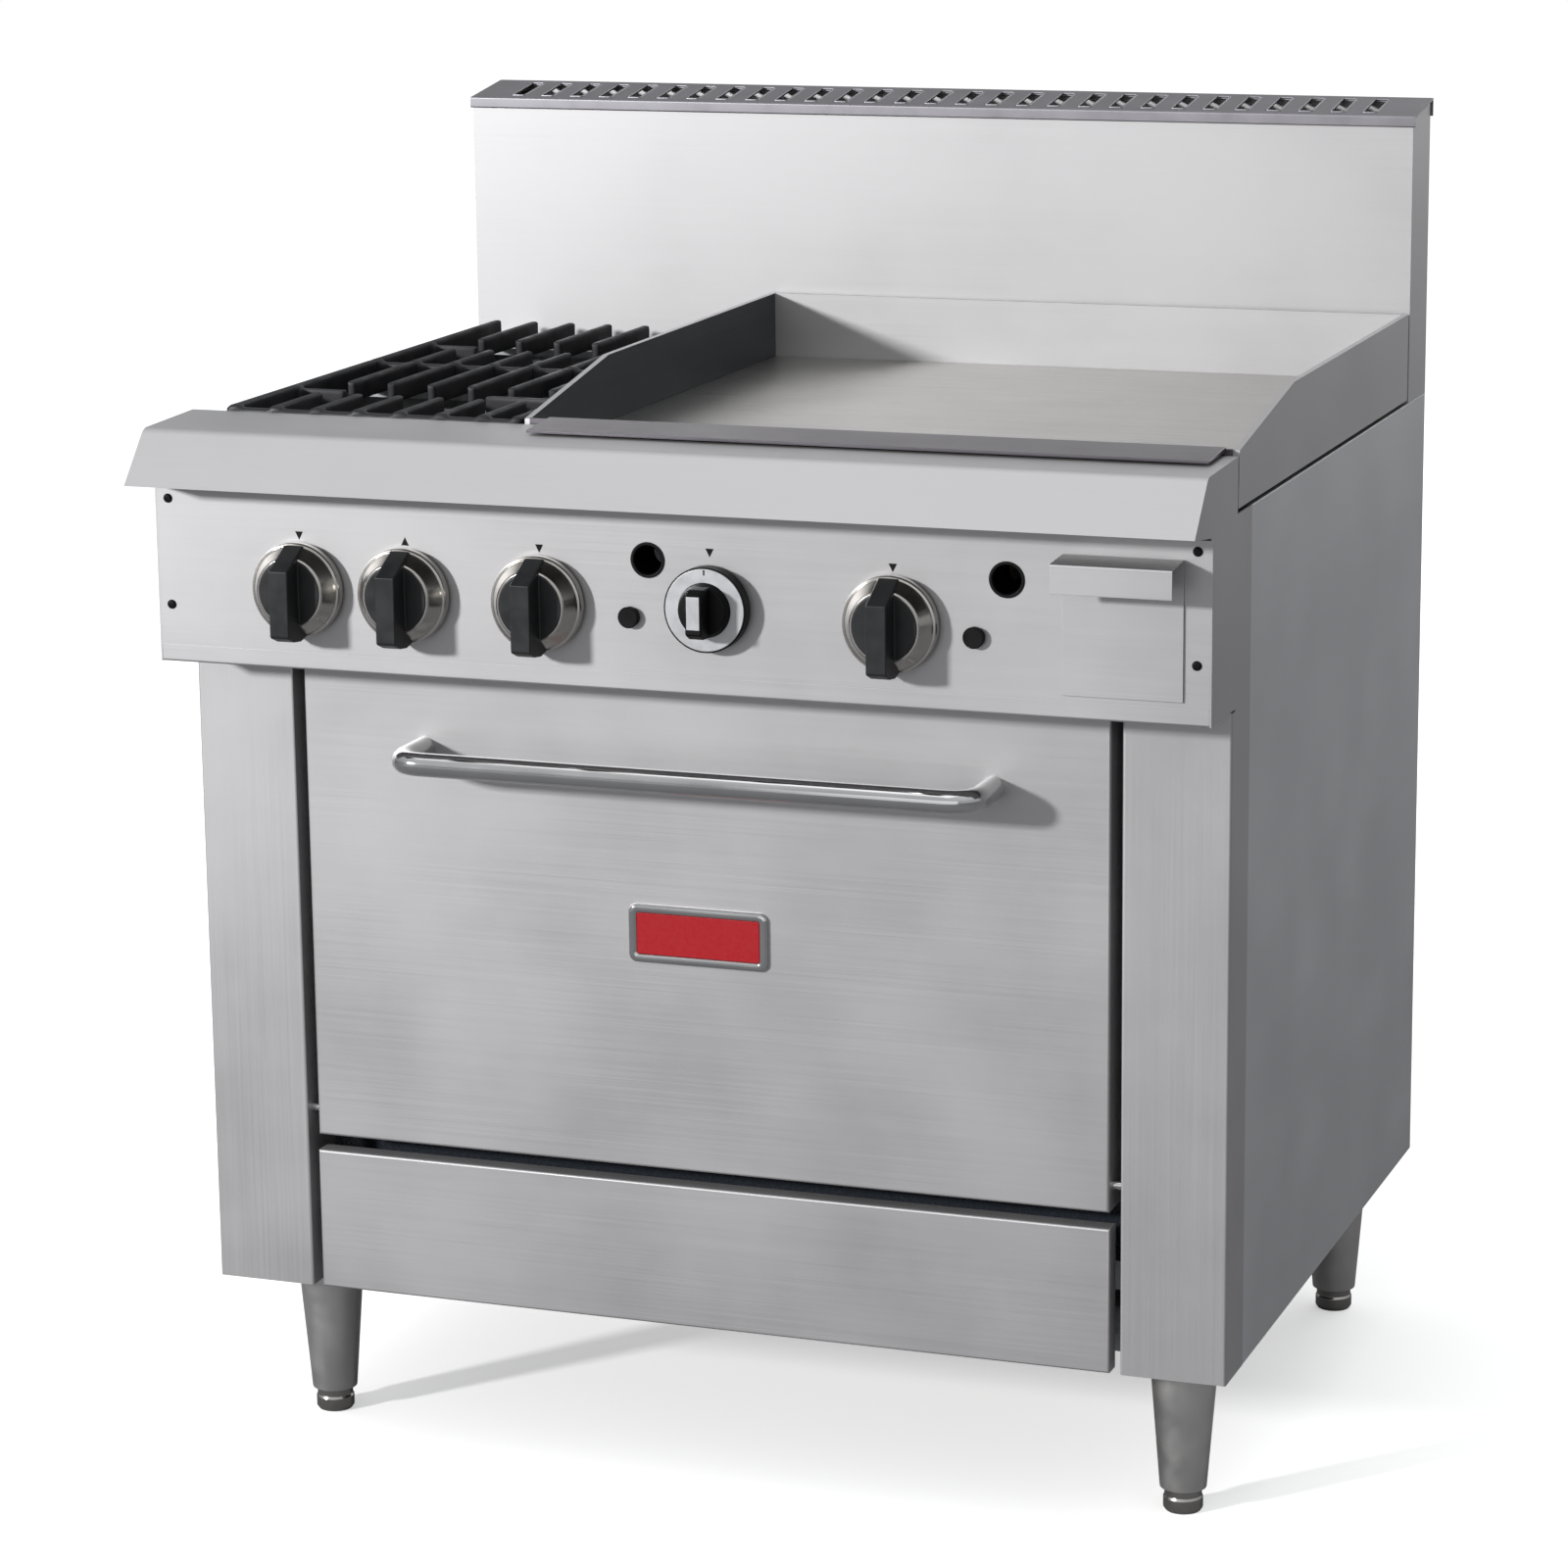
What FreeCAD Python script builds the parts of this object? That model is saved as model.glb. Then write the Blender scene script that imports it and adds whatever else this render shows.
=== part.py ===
import FreeCAD, Part
import math
import os

from FreeCAD import Vector

# Commercial gas range, 36 in wide: two open burners on the left, a 24 in griddle on the right,
# an oven with a drop-down door below. Millimetres. X runs to the right, Y to the back, Z up.
# Heights count from the floor, depths from the front face of the oven door.

# ---- driving dimensions ----
width = 914.0                # over the two side panels
body_depth = 690.0           # door face to back panel
base_z = 150.0               # underside of the body, top of the legs
side_top = 874.0             # top edge of the side panels
sheet = 1.5                  # stainless outer sheet
liner_sheet = 1.2            # enamelled oven sheet
fit = 0.3                    # gap between pieces that move past each other
seat = 0.05                  # radial clearance of shafts and pins

# front of the body
pillar_face = 90.0           # width of the front pillars
pillar_depth = 55.0          # depth of their side returns
reveal = 10.0                # open gap each side of the door
kick_height = 125.0          # kick panel
door_gap = 14.0              # between kick panel and door
door_head_gap = 6.0          # between door and control box
door_skin_depth = 40.0       # outer pan of the door
door_liner_depth = 10.0      # inner pan standing behind it

# control box; drops are measured down from the top of the side panels
box_drop = 157.0             # underside of the control box
box_front = -66.0            # control panel plane
lip_height = 15.0            # lip under the control panel
panel_drop = 8.6             # top edge of the control panel
nose_low_at = (-120.7, 0.6)  # bull-nose: lower front edge (y, height over the side panels)
nose_high_at = (-81.7, 43.4)  # upper front edge
nose_rear_at = (9.5, 46.0)   # rear edge

# griddle; rises are measured up from the top of the side panels
griddle_width = 610.0        # outside, flush with the right side
plate_rise = 4.0             # underside of the griddle plate
plate_thick = 19.0
griddle_front = 12.0
griddle_gap = 5.0            # between its rear wall and the backguard
wall = 5.0                   # griddle side and rear walls
wall_front_rise = 50.0
wall_knee_at = (190.0, 80.0)  # where the side wall reaches its full height (y, rise)
wall_rear_rise = 82.0
lip_front_y = -38.0          # front edge of the grease trough's lip
trough_width = 42.0
griddle_burner_drop = 39.0
griddle_tube_r = 14.0

# backguard and flue
guard_depth = 70.0
guard_rise = 257.0           # front top edge of the backguard
guard_slope = 10.0           # its rear edge stands this much higher
flue_pitch = 29.6
flue_slot_width = 13.0
flue_margin = 30.0           # least distance from the cap's ends to the first slot's centre line

# open burners
grate_back_gap = 40.0        # between the rear grate and the backguard
grate_gap = 3.0              # between the two grates
burner_offset = 121.0        # burner centre behind the front edge of its grate
grate_rise = 51.5            # top of the grates
rim_rise = 27.0              # top of the rim that they rest on
rim_width = 24.0
bar_pitch = 38.0
bar_thick = 8.0
bar_height = 18.0
bar_inset = 36.0             # least distance from the left side to the first bar
finger_gap = 32.0            # from the burner centre to the fingers' ends
burner_drop = 12.0           # seat of the burner heads
tube_r = 12.0

# gas train
manifold_y = 24.0
manifold_r = 13.4
valve_length = 62.0
inlet_inset = 200.0          # gas inlet, from the right side
inlet_stub = 28.0            # its length behind the back panel
inlet_r = 13.4

# controls; insets are measured from the panel's nearer end, the rest from the centre line
knob_drop = 88.0
dial_drop = 84.0             # thermostat
burner_knob_inset = (132.3, 228.4)
left_knob_x = -108.9
right_knob_inset = 261.8
thermostat_x = 39.7
skirt_r = 40.0
skirt_front_r = 30.0
skirt_rim = 8.5              # depth of its widest part, before it narrows
skirt_depth = 21.0
disc_depth = 21.5
grip_width = 17.2
grip_depth = 42.0
grip_rise = 21.3             # front face of the grip over its axis
grip_fall = 34.5             # and below it
dial_r = 34.6
dial_depth = 12.0            # flat ring of the thermostat knob
hub_r = 22.2
stem_r = 4.0
left_port_x = -14.0
right_port_inset = 167.0
port_drop = 48.0
port_r = 15.0
left_button_x = -30.0
right_button_inset = 193.3
button_drop = 95.4
button_r = 8.0
button_travel = 3.0
screw_inset = 12.0
screw_head_r = 3.6
screw_head = 2.2

# grease drawer
drawer_inset = 22.5          # from the right side
drawer_width = 98.5
drawer_drop = 28.0
drawer_height = 110.0
drawer_length = 340.0
drawer_wall = 73.0           # height of the grease tray
pull_depth = 35.0
pull_drop = 22.5
pull_rise = 2.0

# oven
cavity_side = 37.0           # from the pillars' inner edge to the oven wall
cavity_rise = 29.0           # oven floor over the door's bottom edge
cavity_drop = 37.0           # oven roof under the door's top edge
cavity_rear = 76.0           # from the oven's back wall to the back of the range
front_frame_y = 54.0         # face that the door gasket meets
apron_drop = 45.0            # the front frame reaches this far below the kick panel's top
insulation = 40.0
heat_half = 180.0            # opening in the oven floor over the burner
heat_front = 96.0            # its front edge behind the front frame
heat_rear = 114.0            # its rear edge before the oven's back wall
burner_depth = 29.0          # oven burner below the kick panel's top
burner_arm = 140.0
first_run_rise = 66.0        # lowest pair of rack runs over the oven floor
run_pitch = 70.0
run_headroom = 40.0
run_offset = 7.0
guide_front = 76.0           # front uprights behind the front frame
guide_rear = 74.0            # rear uprights before the oven's back wall
hinge_y = 12.0
hinge_rise = 21.0            # hinge line over the door's bottom edge
hinge_r = 4.0
handle_drop = 70.0           # handle below the door's top edge
handle_y = -60.0
handle_r = 10.0
handle_wall = 2.0
handle_x = (-246.0, 258.0)
badge_drop = 216.0
badge_size = (124.0, 50.0)

# legs
leg_inset = 61.0
leg_front = 97.0
leg_rear = 47.0              # rear legs before the back of the range
leg_top_r = 30.0
leg_low_r = 20.0
leg_low_z = 20.0
foot_r = 17.0
foot_height = 14.0


# ---- derived places ----
def over_sides(place):
    # (y, rise over the side panels) as (y, z)
    return (place[0], side_top + place[1])


half = width / 2
inner = half - sheet
pillar_inner = half - pillar_face
door_half = pillar_inner - reveal
kick_half = door_half + 1.0
kick_top = base_z + kick_height
door_bottom = kick_top + door_gap
box_bottom = side_top - box_drop
door_top = box_bottom - door_head_gap
lip_top = box_bottom + lip_height
panel_top = side_top - panel_drop
panel_back = box_front + sheet
nose_low, nose_high, nose_rear = over_sides(nose_low_at), over_sides(nose_high_at), over_sides(nose_rear_at)
frame_front = pillar_depth + fit
frame_back = body_depth - sheet

guard_front = body_depth - guard_depth
guard_z = side_top + guard_rise
guard_rear_z = guard_z + guard_slope
flue_slots = int((width - 2 * flue_margin) / flue_pitch) + 1

griddle_left = half - griddle_width
griddle_rear = guard_front - griddle_gap
plate_z = side_top + plate_rise
plate_top = plate_z + plate_thick
plate_front = griddle_front + trough_width
wall_front_z = side_top + wall_front_rise
wall_knee = over_sides(wall_knee_at)
wall_rear_z = side_top + wall_rear_rise
griddle_burner_z = side_top - griddle_burner_drop
griddle_rail_y = (300.0, griddle_rear - 55)

burner_x = (griddle_left - half) / 2
grate_start = nose_rear[0] + 1.5
grate_depth = (guard_front - grate_back_gap - grate_start - grate_gap) / 2
grate_pitch = grate_depth + grate_gap
grate_top = side_top + grate_rise
grate_bottom = side_top + rim_rise
side_bars = int((burner_x + half - bar_inset) / bar_pitch)
burner_y = (grate_start + burner_offset, grate_start + burner_offset + grate_pitch)
burner_base = side_top - burner_drop

knob_z = side_top - knob_drop
dial_z = side_top - dial_drop
burner_knob_x = tuple(inset - half for inset in burner_knob_inset)
griddle_knob_x = (left_knob_x, half - right_knob_inset)
port_x = (left_port_x, half - right_port_inset)
port_z = side_top - port_drop
button_x = (left_button_x, half - right_button_inset)
button_z = side_top - button_drop
stem_back = panel_back + 24.0
disc_r = skirt_front_r - 2.5
inlet_x = half - inlet_inset
drawer_x = (half - drawer_inset - drawer_width, half - drawer_inset)
drawer_z = (side_top - drawer_drop - drawer_height, side_top - drawer_drop)

cavity_half = pillar_inner - cavity_side
cavity_bottom = door_bottom + cavity_rise
cavity_top = door_top - cavity_drop
cavity_back = body_depth - cavity_rear
insulation_top = cavity_top + liner_sheet + insulation
heat_y = (front_frame_y + heat_front, cavity_back - heat_rear)
base_rail_y = (heat_y[0] + 40, heat_y[1])
oven_burner_z = kick_top - burner_depth
first_run_z = cavity_bottom + first_run_rise
run_count = int((cavity_top - first_run_z - run_headroom) / run_pitch) + 1
guide_y = (front_frame_y + guide_front, cavity_back - guide_rear)
hinge_z = door_bottom + hinge_rise
handle_z = door_top - handle_drop
badge_z = door_top - badge_drop

leg_y = (leg_front, body_depth - leg_rear)
overall_rear = body_depth + inlet_stub
y_mid = (nose_low[0] + overall_rear) / 2
os.makedirs("parts", exist_ok=True)


# ---- helpers ----
def box(x0, x1, y0, y1, z0, z1):
    return Part.makeBox(x1 - x0, y1 - y0, z1 - z0, Vector(x0, y0, z0))


def rod(start, end, radius):
    a, b = Vector(*start), Vector(*end)
    return Part.makeCylinder(radius, (b - a).Length, a, b - a)


def prism_x(points, x0, x1):
    # outline in (y, z), drawn out from x0 to x1
    wire = Part.makePolygon([Vector(x0, y, z) for y, z in points + points[:1]])
    return Part.Face(wire).extrude(Vector(x1 - x0, 0, 0))


def prism_y(points, y0, y1):
    # outline in (x, z), drawn out from y0 to y1
    wire = Part.makePolygon([Vector(x, y0, z) for x, z in points + points[:1]])
    return Part.Face(wire).extrude(Vector(0, y1 - y0, 0))


def turned(points, centre, axis):
    # outline in (radius, distance along axis) turned about the axis through `centre`
    out = [Vector(r, 0, d) for r, d in points]
    solid = Part.Face(Part.makePolygon(out + out[:1])).revolve(Vector(0, 0, 0), Vector(0, 0, 1), 360)
    solid.Placement = FreeCAD.Placement(Vector(*centre), FreeCAD.Rotation(Vector(0, 0, 1), Vector(*axis)))
    return solid


def bent(points, thick, x0, x1):
    # sheet of constant thickness that follows the outline (y, z); material lies to the left of the path
    back = []
    for i, (y, z) in enumerate(points):
        before, after = points[max(i - 1, 0)], points[min(i + 1, len(points) - 1)]
        normals = []
        for a, b in ((before, (y, z)), ((y, z), after)):
            length = math.hypot(b[0] - a[0], b[1] - a[1])
            if length > 0:
                normals.append((-(b[1] - a[1]) / length, (b[0] - a[0]) / length))
        ny = sum(n[0] for n in normals) / len(normals)
        nz = sum(n[1] for n in normals) / len(normals)
        scale = thick / (ny * ny + nz * nz)
        back.append((y + ny * scale, z + nz * scale))
    return prism_x(points + back[::-1], x0, x1)


def fused(shapes):
    solid = shapes[0].multiFuse(shapes[1:]) if len(shapes) > 1 else shapes[0]
    return solid.removeSplitter()


def mirrored(shape):
    return shape.mirror(Vector(0, 0, 0), Vector(1, 0, 0))


def save(node, *shapes):
    whole = Part.makeCompound(list(shapes)) if len(shapes) > 1 else shapes[0]
    whole.translate(Vector(0, -y_mid, 0))
    whole.exportStep("parts/" + node + ".step")


# ---- body: welded frames, each bar a solid of its own ----
def rails(x0, x1, y0, y1, z0, z1, rail):
    # rectangle of four bars: two full-length along Y, two between them along X
    ends = [(x0 + rail, x1 - rail, y, y + rail) for y in (y0, y1 - rail)]
    sides = [(x, x + rail, y0, y1) for x in (x0, x1 - rail)]
    return [box(*place, z0, z1) for place in sides + ends]


def base_frame():
    rail, depth, foot_plate = 40.0, 40.0, 4.0
    top = base_z + depth
    bars = rails(-inner, inner, frame_front, frame_back, base_z + foot_plate, top, rail)
    for y in base_rail_y:
        bars.append(box(-inner + rail, inner - rail, y, y + 20, base_z + foot_plate, top))
    for x, y in leg_places():
        x0, x1 = max(x - 50, -inner), min(x + 50, inner)
        y0, y1 = max(y - 50, frame_front), min(y + 50, frame_back)
        bars.append(box(x0, x1, y0, y1, base_z, base_z + foot_plate))
    for side in (-1, 1):
        x = side * (kick_half - 60)
        bars.append(box(x - 15, x + 15, sheet + fit, frame_front, base_z + 10, top - 10))
    return bars


def hob_frame():
    # corner posts, top rails, the rim that the grates rest on, and the burner bars
    post, low = 20.0, base_z + 40
    rail_z = side_top - post
    bars = rails(-inner, inner, frame_front, frame_back, rail_z, side_top, post)
    bars.append(box(griddle_left - post, griddle_left + 15, frame_front + post, frame_back - post,
                    rail_z, side_top))
    for side in (-1, 1):
        for y0 in (frame_front, frame_back - post):
            x = side * (inner - post / 2)
            bars.append(box(x - post / 2, x + post / 2, y0, y0 + post, low, rail_z))
    rim_right = griddle_left - fit
    bars += rails(-half, rim_right, nose_rear[0] + fit, guard_front, side_top, grate_bottom, rim_width)
    seam, rear_end = grate_start + grate_depth + grate_gap / 2, grate_start + 2 * grate_depth + grate_gap
    for y0, y1 in ((seam - 22, seam + 22), (rear_end - 22, guard_front - rim_width)):
        bars.append(box(-half + rim_width, rim_right - rim_width, y0, y1, grate_bottom - 6, grate_bottom))
    for y in burner_y:
        x = tube_x(y)
        bar = box(-inner + post, griddle_left - post, y - 10, y + 10, burner_base - 4, burner_base)
        bars.append(bar.cut(rod((x, y, burner_base - 5), (x, y, burner_base + 1), tube_r + seat)))
    for y in griddle_rail_y:
        bars.append(box(griddle_left, inner, y, y + 15, griddle_burner_z - griddle_tube_r - 15,
                        griddle_burner_z - griddle_tube_r))
        for x in (griddle_left, inner - 5):
            bars.append(box(x, x + 5, y, y + 15, griddle_burner_z - griddle_tube_r, rail_z))
    return bars


def side_panel():
    return box(inner, half, pillar_depth, body_depth, base_z, side_top)


def front_pillar():
    full = box(pillar_inner, half, 0, pillar_depth, base_z, box_bottom - 2)
    hollow = box(pillar_inner + sheet, inner, sheet, pillar_depth + 1, base_z - 1, box_bottom)
    strip = box(inner, half, nose_rear[0], pillar_depth, box_bottom - 2, side_top)
    pin = rod((pillar_inner - 1, hinge_y, hinge_z), (pillar_inner + 5, hinge_y, hinge_z), hinge_r)
    return fused([full.cut(hollow), strip]).cut(pin)


def kick_panel():
    # pull-off panel in front of the oven burner
    pan = box(-kick_half, kick_half, 0, 18, base_z, kick_top)
    pan = pan.cut(box(-kick_half + sheet, kick_half - sheet, sheet, 19, base_z + sheet, kick_top - sheet))
    return pan


def back_panel():
    plate = box(-inner, inner, frame_back, body_depth, base_z, side_top)
    return plate.cut(rod((inlet_x, frame_back - 1, knob_z), (inlet_x, body_depth + 1, knob_z), inlet_r + 1))


# ---- control box ----
def control_box():
    bottom = box(-inner, inner, box_front, nose_rear[0], box_bottom, box_bottom + sheet)
    lip = box(-inner, inner, box_front, panel_back, box_bottom, lip_top)
    return fused([bottom, lip])


def bull_nose():
    outline = [(nose_low[0] + 12, nose_low[1]), nose_low, nose_high, nose_rear]
    skin = bent(outline[::-1], sheet, -inner, inner)
    end = [(box_front, box_bottom), (box_front, panel_top + 2), nose_low, nose_high, nose_rear,
           (nose_rear[0], box_bottom)]
    caps = [prism_x(end, x, x + sheet) for x in (-half, inner)]
    return fused([skin] + caps)


def control_panel():
    plate = box(-inner, inner, box_front, panel_back, lip_top, panel_top)
    holes = [(x, knob_z, stem_r + 1) for x in burner_knob_x + griddle_knob_x]
    holes += [(thermostat_x, dial_z, stem_r + 1)]
    holes += [(x, button_z, button_r + fit) for x in button_x]
    holes += [(x, port_z, port_r - 2) for x in port_x]
    for x, z, r in holes:
        plate = plate.cut(rod((x, box_front - 1, z), (x, panel_back + 1, z), r))
    opening = box(drawer_x[0] + 3, drawer_x[1] - 3, box_front - 1, panel_back + 1,
                  drawer_z[0] + 3, drawer_z[1] - 3)
    return plate.cut(opening)


def panel_screws():
    screws = []
    for x in (screw_inset - half, half - screw_inset):
        for z in (lip_top + 34, panel_top - 9):
            screws.append(rod((x, box_front - screw_head, z), (x, box_front, z), screw_head_r))
    return screws


def port_grommets():
    shapes = []
    for x in port_x:
        outline = [(port_r - 4, -2), (port_r, -2), (port_r, 0), (port_r - 2, 0),
                   (port_r - 2, sheet + 2), (port_r - 4, sheet + 2)]
        shapes.append(turned(outline, (x, box_front, port_z), (0, 1, 0)))
    return shapes


def igniter_button(x):
    shaft = rod((x, box_front - 2, button_z), (x, panel_back + 16, button_z), button_r)
    crown = turned([(0, 0), (button_r + 0.8, 0), (button_r + 0.8, 1.4), (button_r, 2.2), (0, 2.2)],
                   (x, box_front - button_travel - fit - 0.7, button_z), (0, -1, 0))
    neck = rod((x, box_front - button_travel - 1, button_z), (x, box_front, button_z), button_r)
    return fused([shaft, neck, crown])


# ---- knobs: each is a moulded grip with its stem, and a pressed steel skirt round it ----
def knob_skirt(x):
    back = box_front - 2.0
    outline = [(skirt_r - 1, 0), (skirt_r, skirt_rim - 1), (skirt_r, skirt_rim), (skirt_front_r, skirt_depth),
               (disc_r, skirt_depth), (skirt_r - 3, skirt_rim - 1), (skirt_r - 3, 0)]
    skirt = turned(outline, (x, back, knob_z), (0, -1, 0))
    gap = grip_width / 2 + 0.2
    slot = box(x - gap, x + gap, back - skirt_depth - 1, back - 2.6, knob_z - 60, knob_z + 60)
    return skirt.cut(slot)


def knob_stem(x, z):
    # valve spindle, pressed into the back of the grip
    return rod((x, stem_back, z), (x, box_front - 14, z), stem_r)


def burner_knob(x):
    back = box_front - 2.0
    disc = turned([(0, 2), (skirt_r - 5, 2), (disc_r, skirt_depth - 2), (disc_r, disc_depth - 1),
                   (disc_r - 1, disc_depth), (0, disc_depth)], (x, back, knob_z), (0, -1, 0))
    bar = [(back - 3, skirt_r - 2), (back - 11, skirt_r - 2), (back - grip_depth, grip_rise),
           (back - grip_depth, -grip_fall), (back - 20, -skirt_r - 1), (back - 3, -skirt_r - 1)]
    grip = prism_x([(y, z + knob_z) for y, z in bar], x - grip_width / 2, x + grip_width / 2)
    bore = rod((x, back, knob_z), (x, box_front - 14, knob_z), stem_r)
    return [fused([disc, grip]).cut(bore), knob_stem(x, knob_z)]


def thermostat_dial():
    back = box_front - 2.0
    outline = [(hub_r, 0), (dial_r, 0), (dial_r, dial_depth - 1), (dial_r - 1, dial_depth),
               (hub_r, dial_depth)]
    return turned(outline, (thermostat_x, back, dial_z), (0, -1, 0))


def thermostat_knob():
    back, x = box_front - 2.0, thermostat_x
    hub = turned([(0, 2), (hub_r, 2), (hub_r, dial_depth), (hub_r - 1.5, 18), (hub_r - 3.5, 20), (0, 20)],
                 (x, back, dial_z), (0, -1, 0))
    bar = [(back - 10, 21), (back - 34, 20), (back - 38, 16), (back - 38, -18), (back - 34, -21),
           (back - 10, -21)]
    grip = prism_x([(y, z + dial_z) for y, z in bar], x - 7, x + 7)
    bore = rod((x, back, dial_z), (x, box_front - 14, dial_z), stem_r)
    return [fused([hub, grip]).cut(bore), knob_stem(x, dial_z)]


# ---- gas train ----
def gas_manifold():
    return rod((burner_knob_x[0] - 40, manifold_y, knob_z), (inlet_x - 22, manifold_y, knob_z), manifold_r)


def valve(x, z, barrel_r):
    # body in front of the manifold, with a bore for the spindle
    joint = manifold_y - manifold_r
    front = joint - valve_length
    body = rod((x, front, z), (x, joint - 2, z), barrel_r)
    tail = rod((x, joint - 6, z), (x, manifold_y, z), 6.0)
    manifold = rod((x - 30, manifold_y, knob_z), (x + 30, manifold_y, knob_z), manifold_r)
    bore = rod((x, front - 1, z), (x, stem_back + 2, z), stem_r + seat)
    return fused([body, tail]).cut(manifold).cut(bore)


def gas_valves():
    return [valve(x, knob_z, 15.0) for x in burner_knob_x + griddle_knob_x]


def gas_inlet_pipe():
    # supply line from the manifold's right end, back and out through the rear panel, open at its rear end
    end, length, bore = body_depth + 2 - manifold_y, overall_rear - manifold_y, inlet_r - 3.5
    outline = [(0, 0), (manifold_r - 1, 0), (manifold_r - 1, end), (inlet_r, end), (inlet_r, length),
               (bore, length), (bore, 60), (0, 60)]
    run = turned(outline, (inlet_x, manifold_y, knob_z), (0, 1, 0))
    bend = rod((inlet_x - 22, manifold_y, knob_z), (inlet_x, manifold_y, knob_z), manifold_r - 2)
    corner = Part.makeSphere(manifold_r, Vector(inlet_x, manifold_y, knob_z))
    return fused([run, bend, corner])


# ---- open burners ----
def tube_x(y):
    # the two mixing tubes stand side by side
    return burner_x + (-16 if y == burner_y[0] else 16)


def burner_head(y):
    # cast head: a stem, a ring with gas ports round its edge and a shallow crown
    x, z = burner_x, burner_base
    outline = [(0, 0), (30, 0), (30, 12), (46, 18), (46, 28), (40, 34), (22, 37), (0, 37)]
    head = turned([(r, h + z) for r, h in outline], (x, y, 0), (0, 0, 1))
    ports = 16
    for i in range(ports):
        angle = 2 * math.pi * i / ports
        cx, cy = x + 46 * math.cos(angle), y + 46 * math.sin(angle)
        head = head.cut(rod((cx, cy, z + 20), (cx, cy, z + 28), 2.2))
    return head


def burner_tubes():
    # each tube runs forward from under its head towards its valve, where its end is open
    shapes = []
    low, front = burner_base - 30, frame_front + 12
    for y in burner_y:
        x = tube_x(y)
        top = rod((x, y, low), (x, y, burner_base), tube_r)
        elbow = Part.makeSphere(tube_r + 1, Vector(x, y, low))
        run = rod((x, y, low), (x, front, low), tube_r - 1)
        mouth = rod((x, front - 1, low), (x, front + 25, low), tube_r - 4)
        shapes.append(fused([top, elbow, run]).cut(mouth))
    return shapes


def grate(y0):
    # cast bars along Y, split round the burner, tied by two low cross rails and two side fingers
    x_first = burner_x - side_bars * bar_pitch
    x_last = griddle_left - bar_thick / 2 - 3
    y1 = y0 + grate_depth
    low = grate_top - bar_height
    centre = y0 + burner_offset
    half_bar = bar_thick / 2
    parts = [box(x - half_bar, x + half_bar, y0, y1, grate_bottom + 3, grate_top) for x in (x_first, x_last)]
    for i in range(1, 2 * side_bars + 1):
        x = x_first + i * bar_pitch
        for start, end in ((y0, centre - finger_gap), (centre + finger_gap, y1)):
            parts.append(box(x - half_bar, x + half_bar, start, end, low, grate_top))
    parts.append(box(x_first - 2 * half_bar, x_last, y0, y0 + bar_thick, grate_bottom + 3, grate_top - 3))
    for y in (y0 + 14, y1 - 22):
        parts.append(box(x_first, x_last, y, y + bar_thick, grate_bottom + 1, low + 3))
    for start, end in ((x_first, x_first + 48), (x_last - 78, x_last)):
        parts.append(box(start, end, centre - half_bar, centre + half_bar, low - 2, grate_top - 3))
    for x in (x_first, x_last - 4):
        for y in (y0 + 6, y1 - 18):
            parts.append(box(x - 4, x + 8, y, y + 12, grate_bottom + fit, grate_bottom + 3.5))
    return fused(parts)


def spill_tray():
    x0, x1, y0, y1 = -inner + 26, griddle_left - 22, frame_front + 25, body_depth - 50
    z0, depth = insulation_top, 20.0
    tray = box(x0, x1, y0, y1, z0, z0 + depth)
    return tray.cut(box(x0 + 1, x1 - 1, y0 + 1, y1 - 1, z0 + 1, z0 + depth + 1))


# ---- griddle ----
def griddle_plate():
    # thick plate on four pads that leave an air gap over the frame
    x0, x1, y1 = griddle_left + wall, half - wall, griddle_rear - wall
    pads = [box(x, x + 10, y, y + 12, side_top, plate_z)
            for x in (x0 + 3, x1 - 15) for y in (plate_front + 6, y1 - 40)]
    return fused([box(x0, x1, plate_front, y1, plate_z, plate_top)] + pads)


def griddle_splash():
    side = [(griddle_front, plate_z), (griddle_front + 2, wall_front_z), wall_knee,
            (griddle_rear, wall_rear_z), (griddle_rear, plate_z)]
    left = prism_x(side, griddle_left, griddle_left + wall)
    right = prism_x(side, half - wall, half)
    rear = box(griddle_left, half, griddle_rear - wall, griddle_rear, plate_z, wall_rear_z)
    return fused([left, right, rear])


def griddle_trough():
    # folded trough in front of the plate; its front lip lies on the bull-nose
    x0, x1 = griddle_left + wall, half - wall
    y0, y1, low = griddle_front, plate_front, plate_z - 12
    pan = box(x0, x1, y0, y1, low, plate_top - 1)
    pan = pan.cut(box(x0 + 2, x1 - 2, y0 + 2, y1 - 2, low + 2, plate_top))
    front = box(x0, x1, y0, y0 + 2, plate_z, wall_front_z + 1)
    edge_z = nose_high[1] + 3.2
    lip = [(lip_front_y, edge_z), (lip_front_y, edge_z + 2.6), (y0, wall_front_z + 2.6),
           (y0 + 2, wall_front_z + 0.6), (y0 + 2, wall_front_z - 1.6), (lip_front_y + 2, edge_z + 1)]
    top = prism_x(lip, griddle_left + 23, x1 - 6)
    drain_x, drain_y, drain_r = (drawer_x[0] + drawer_x[1]) / 2, (y0 + y1) / 2, 16.0
    spout = rod((drain_x, drain_y, low - 38), (drain_x, drain_y, low + 1), drain_r + 2)
    drain = rod((drain_x, drain_y, low - 39), (drain_x, drain_y, low + 3), drain_r)
    return fused([pan, front, top, spout]).cut(drain)


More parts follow.
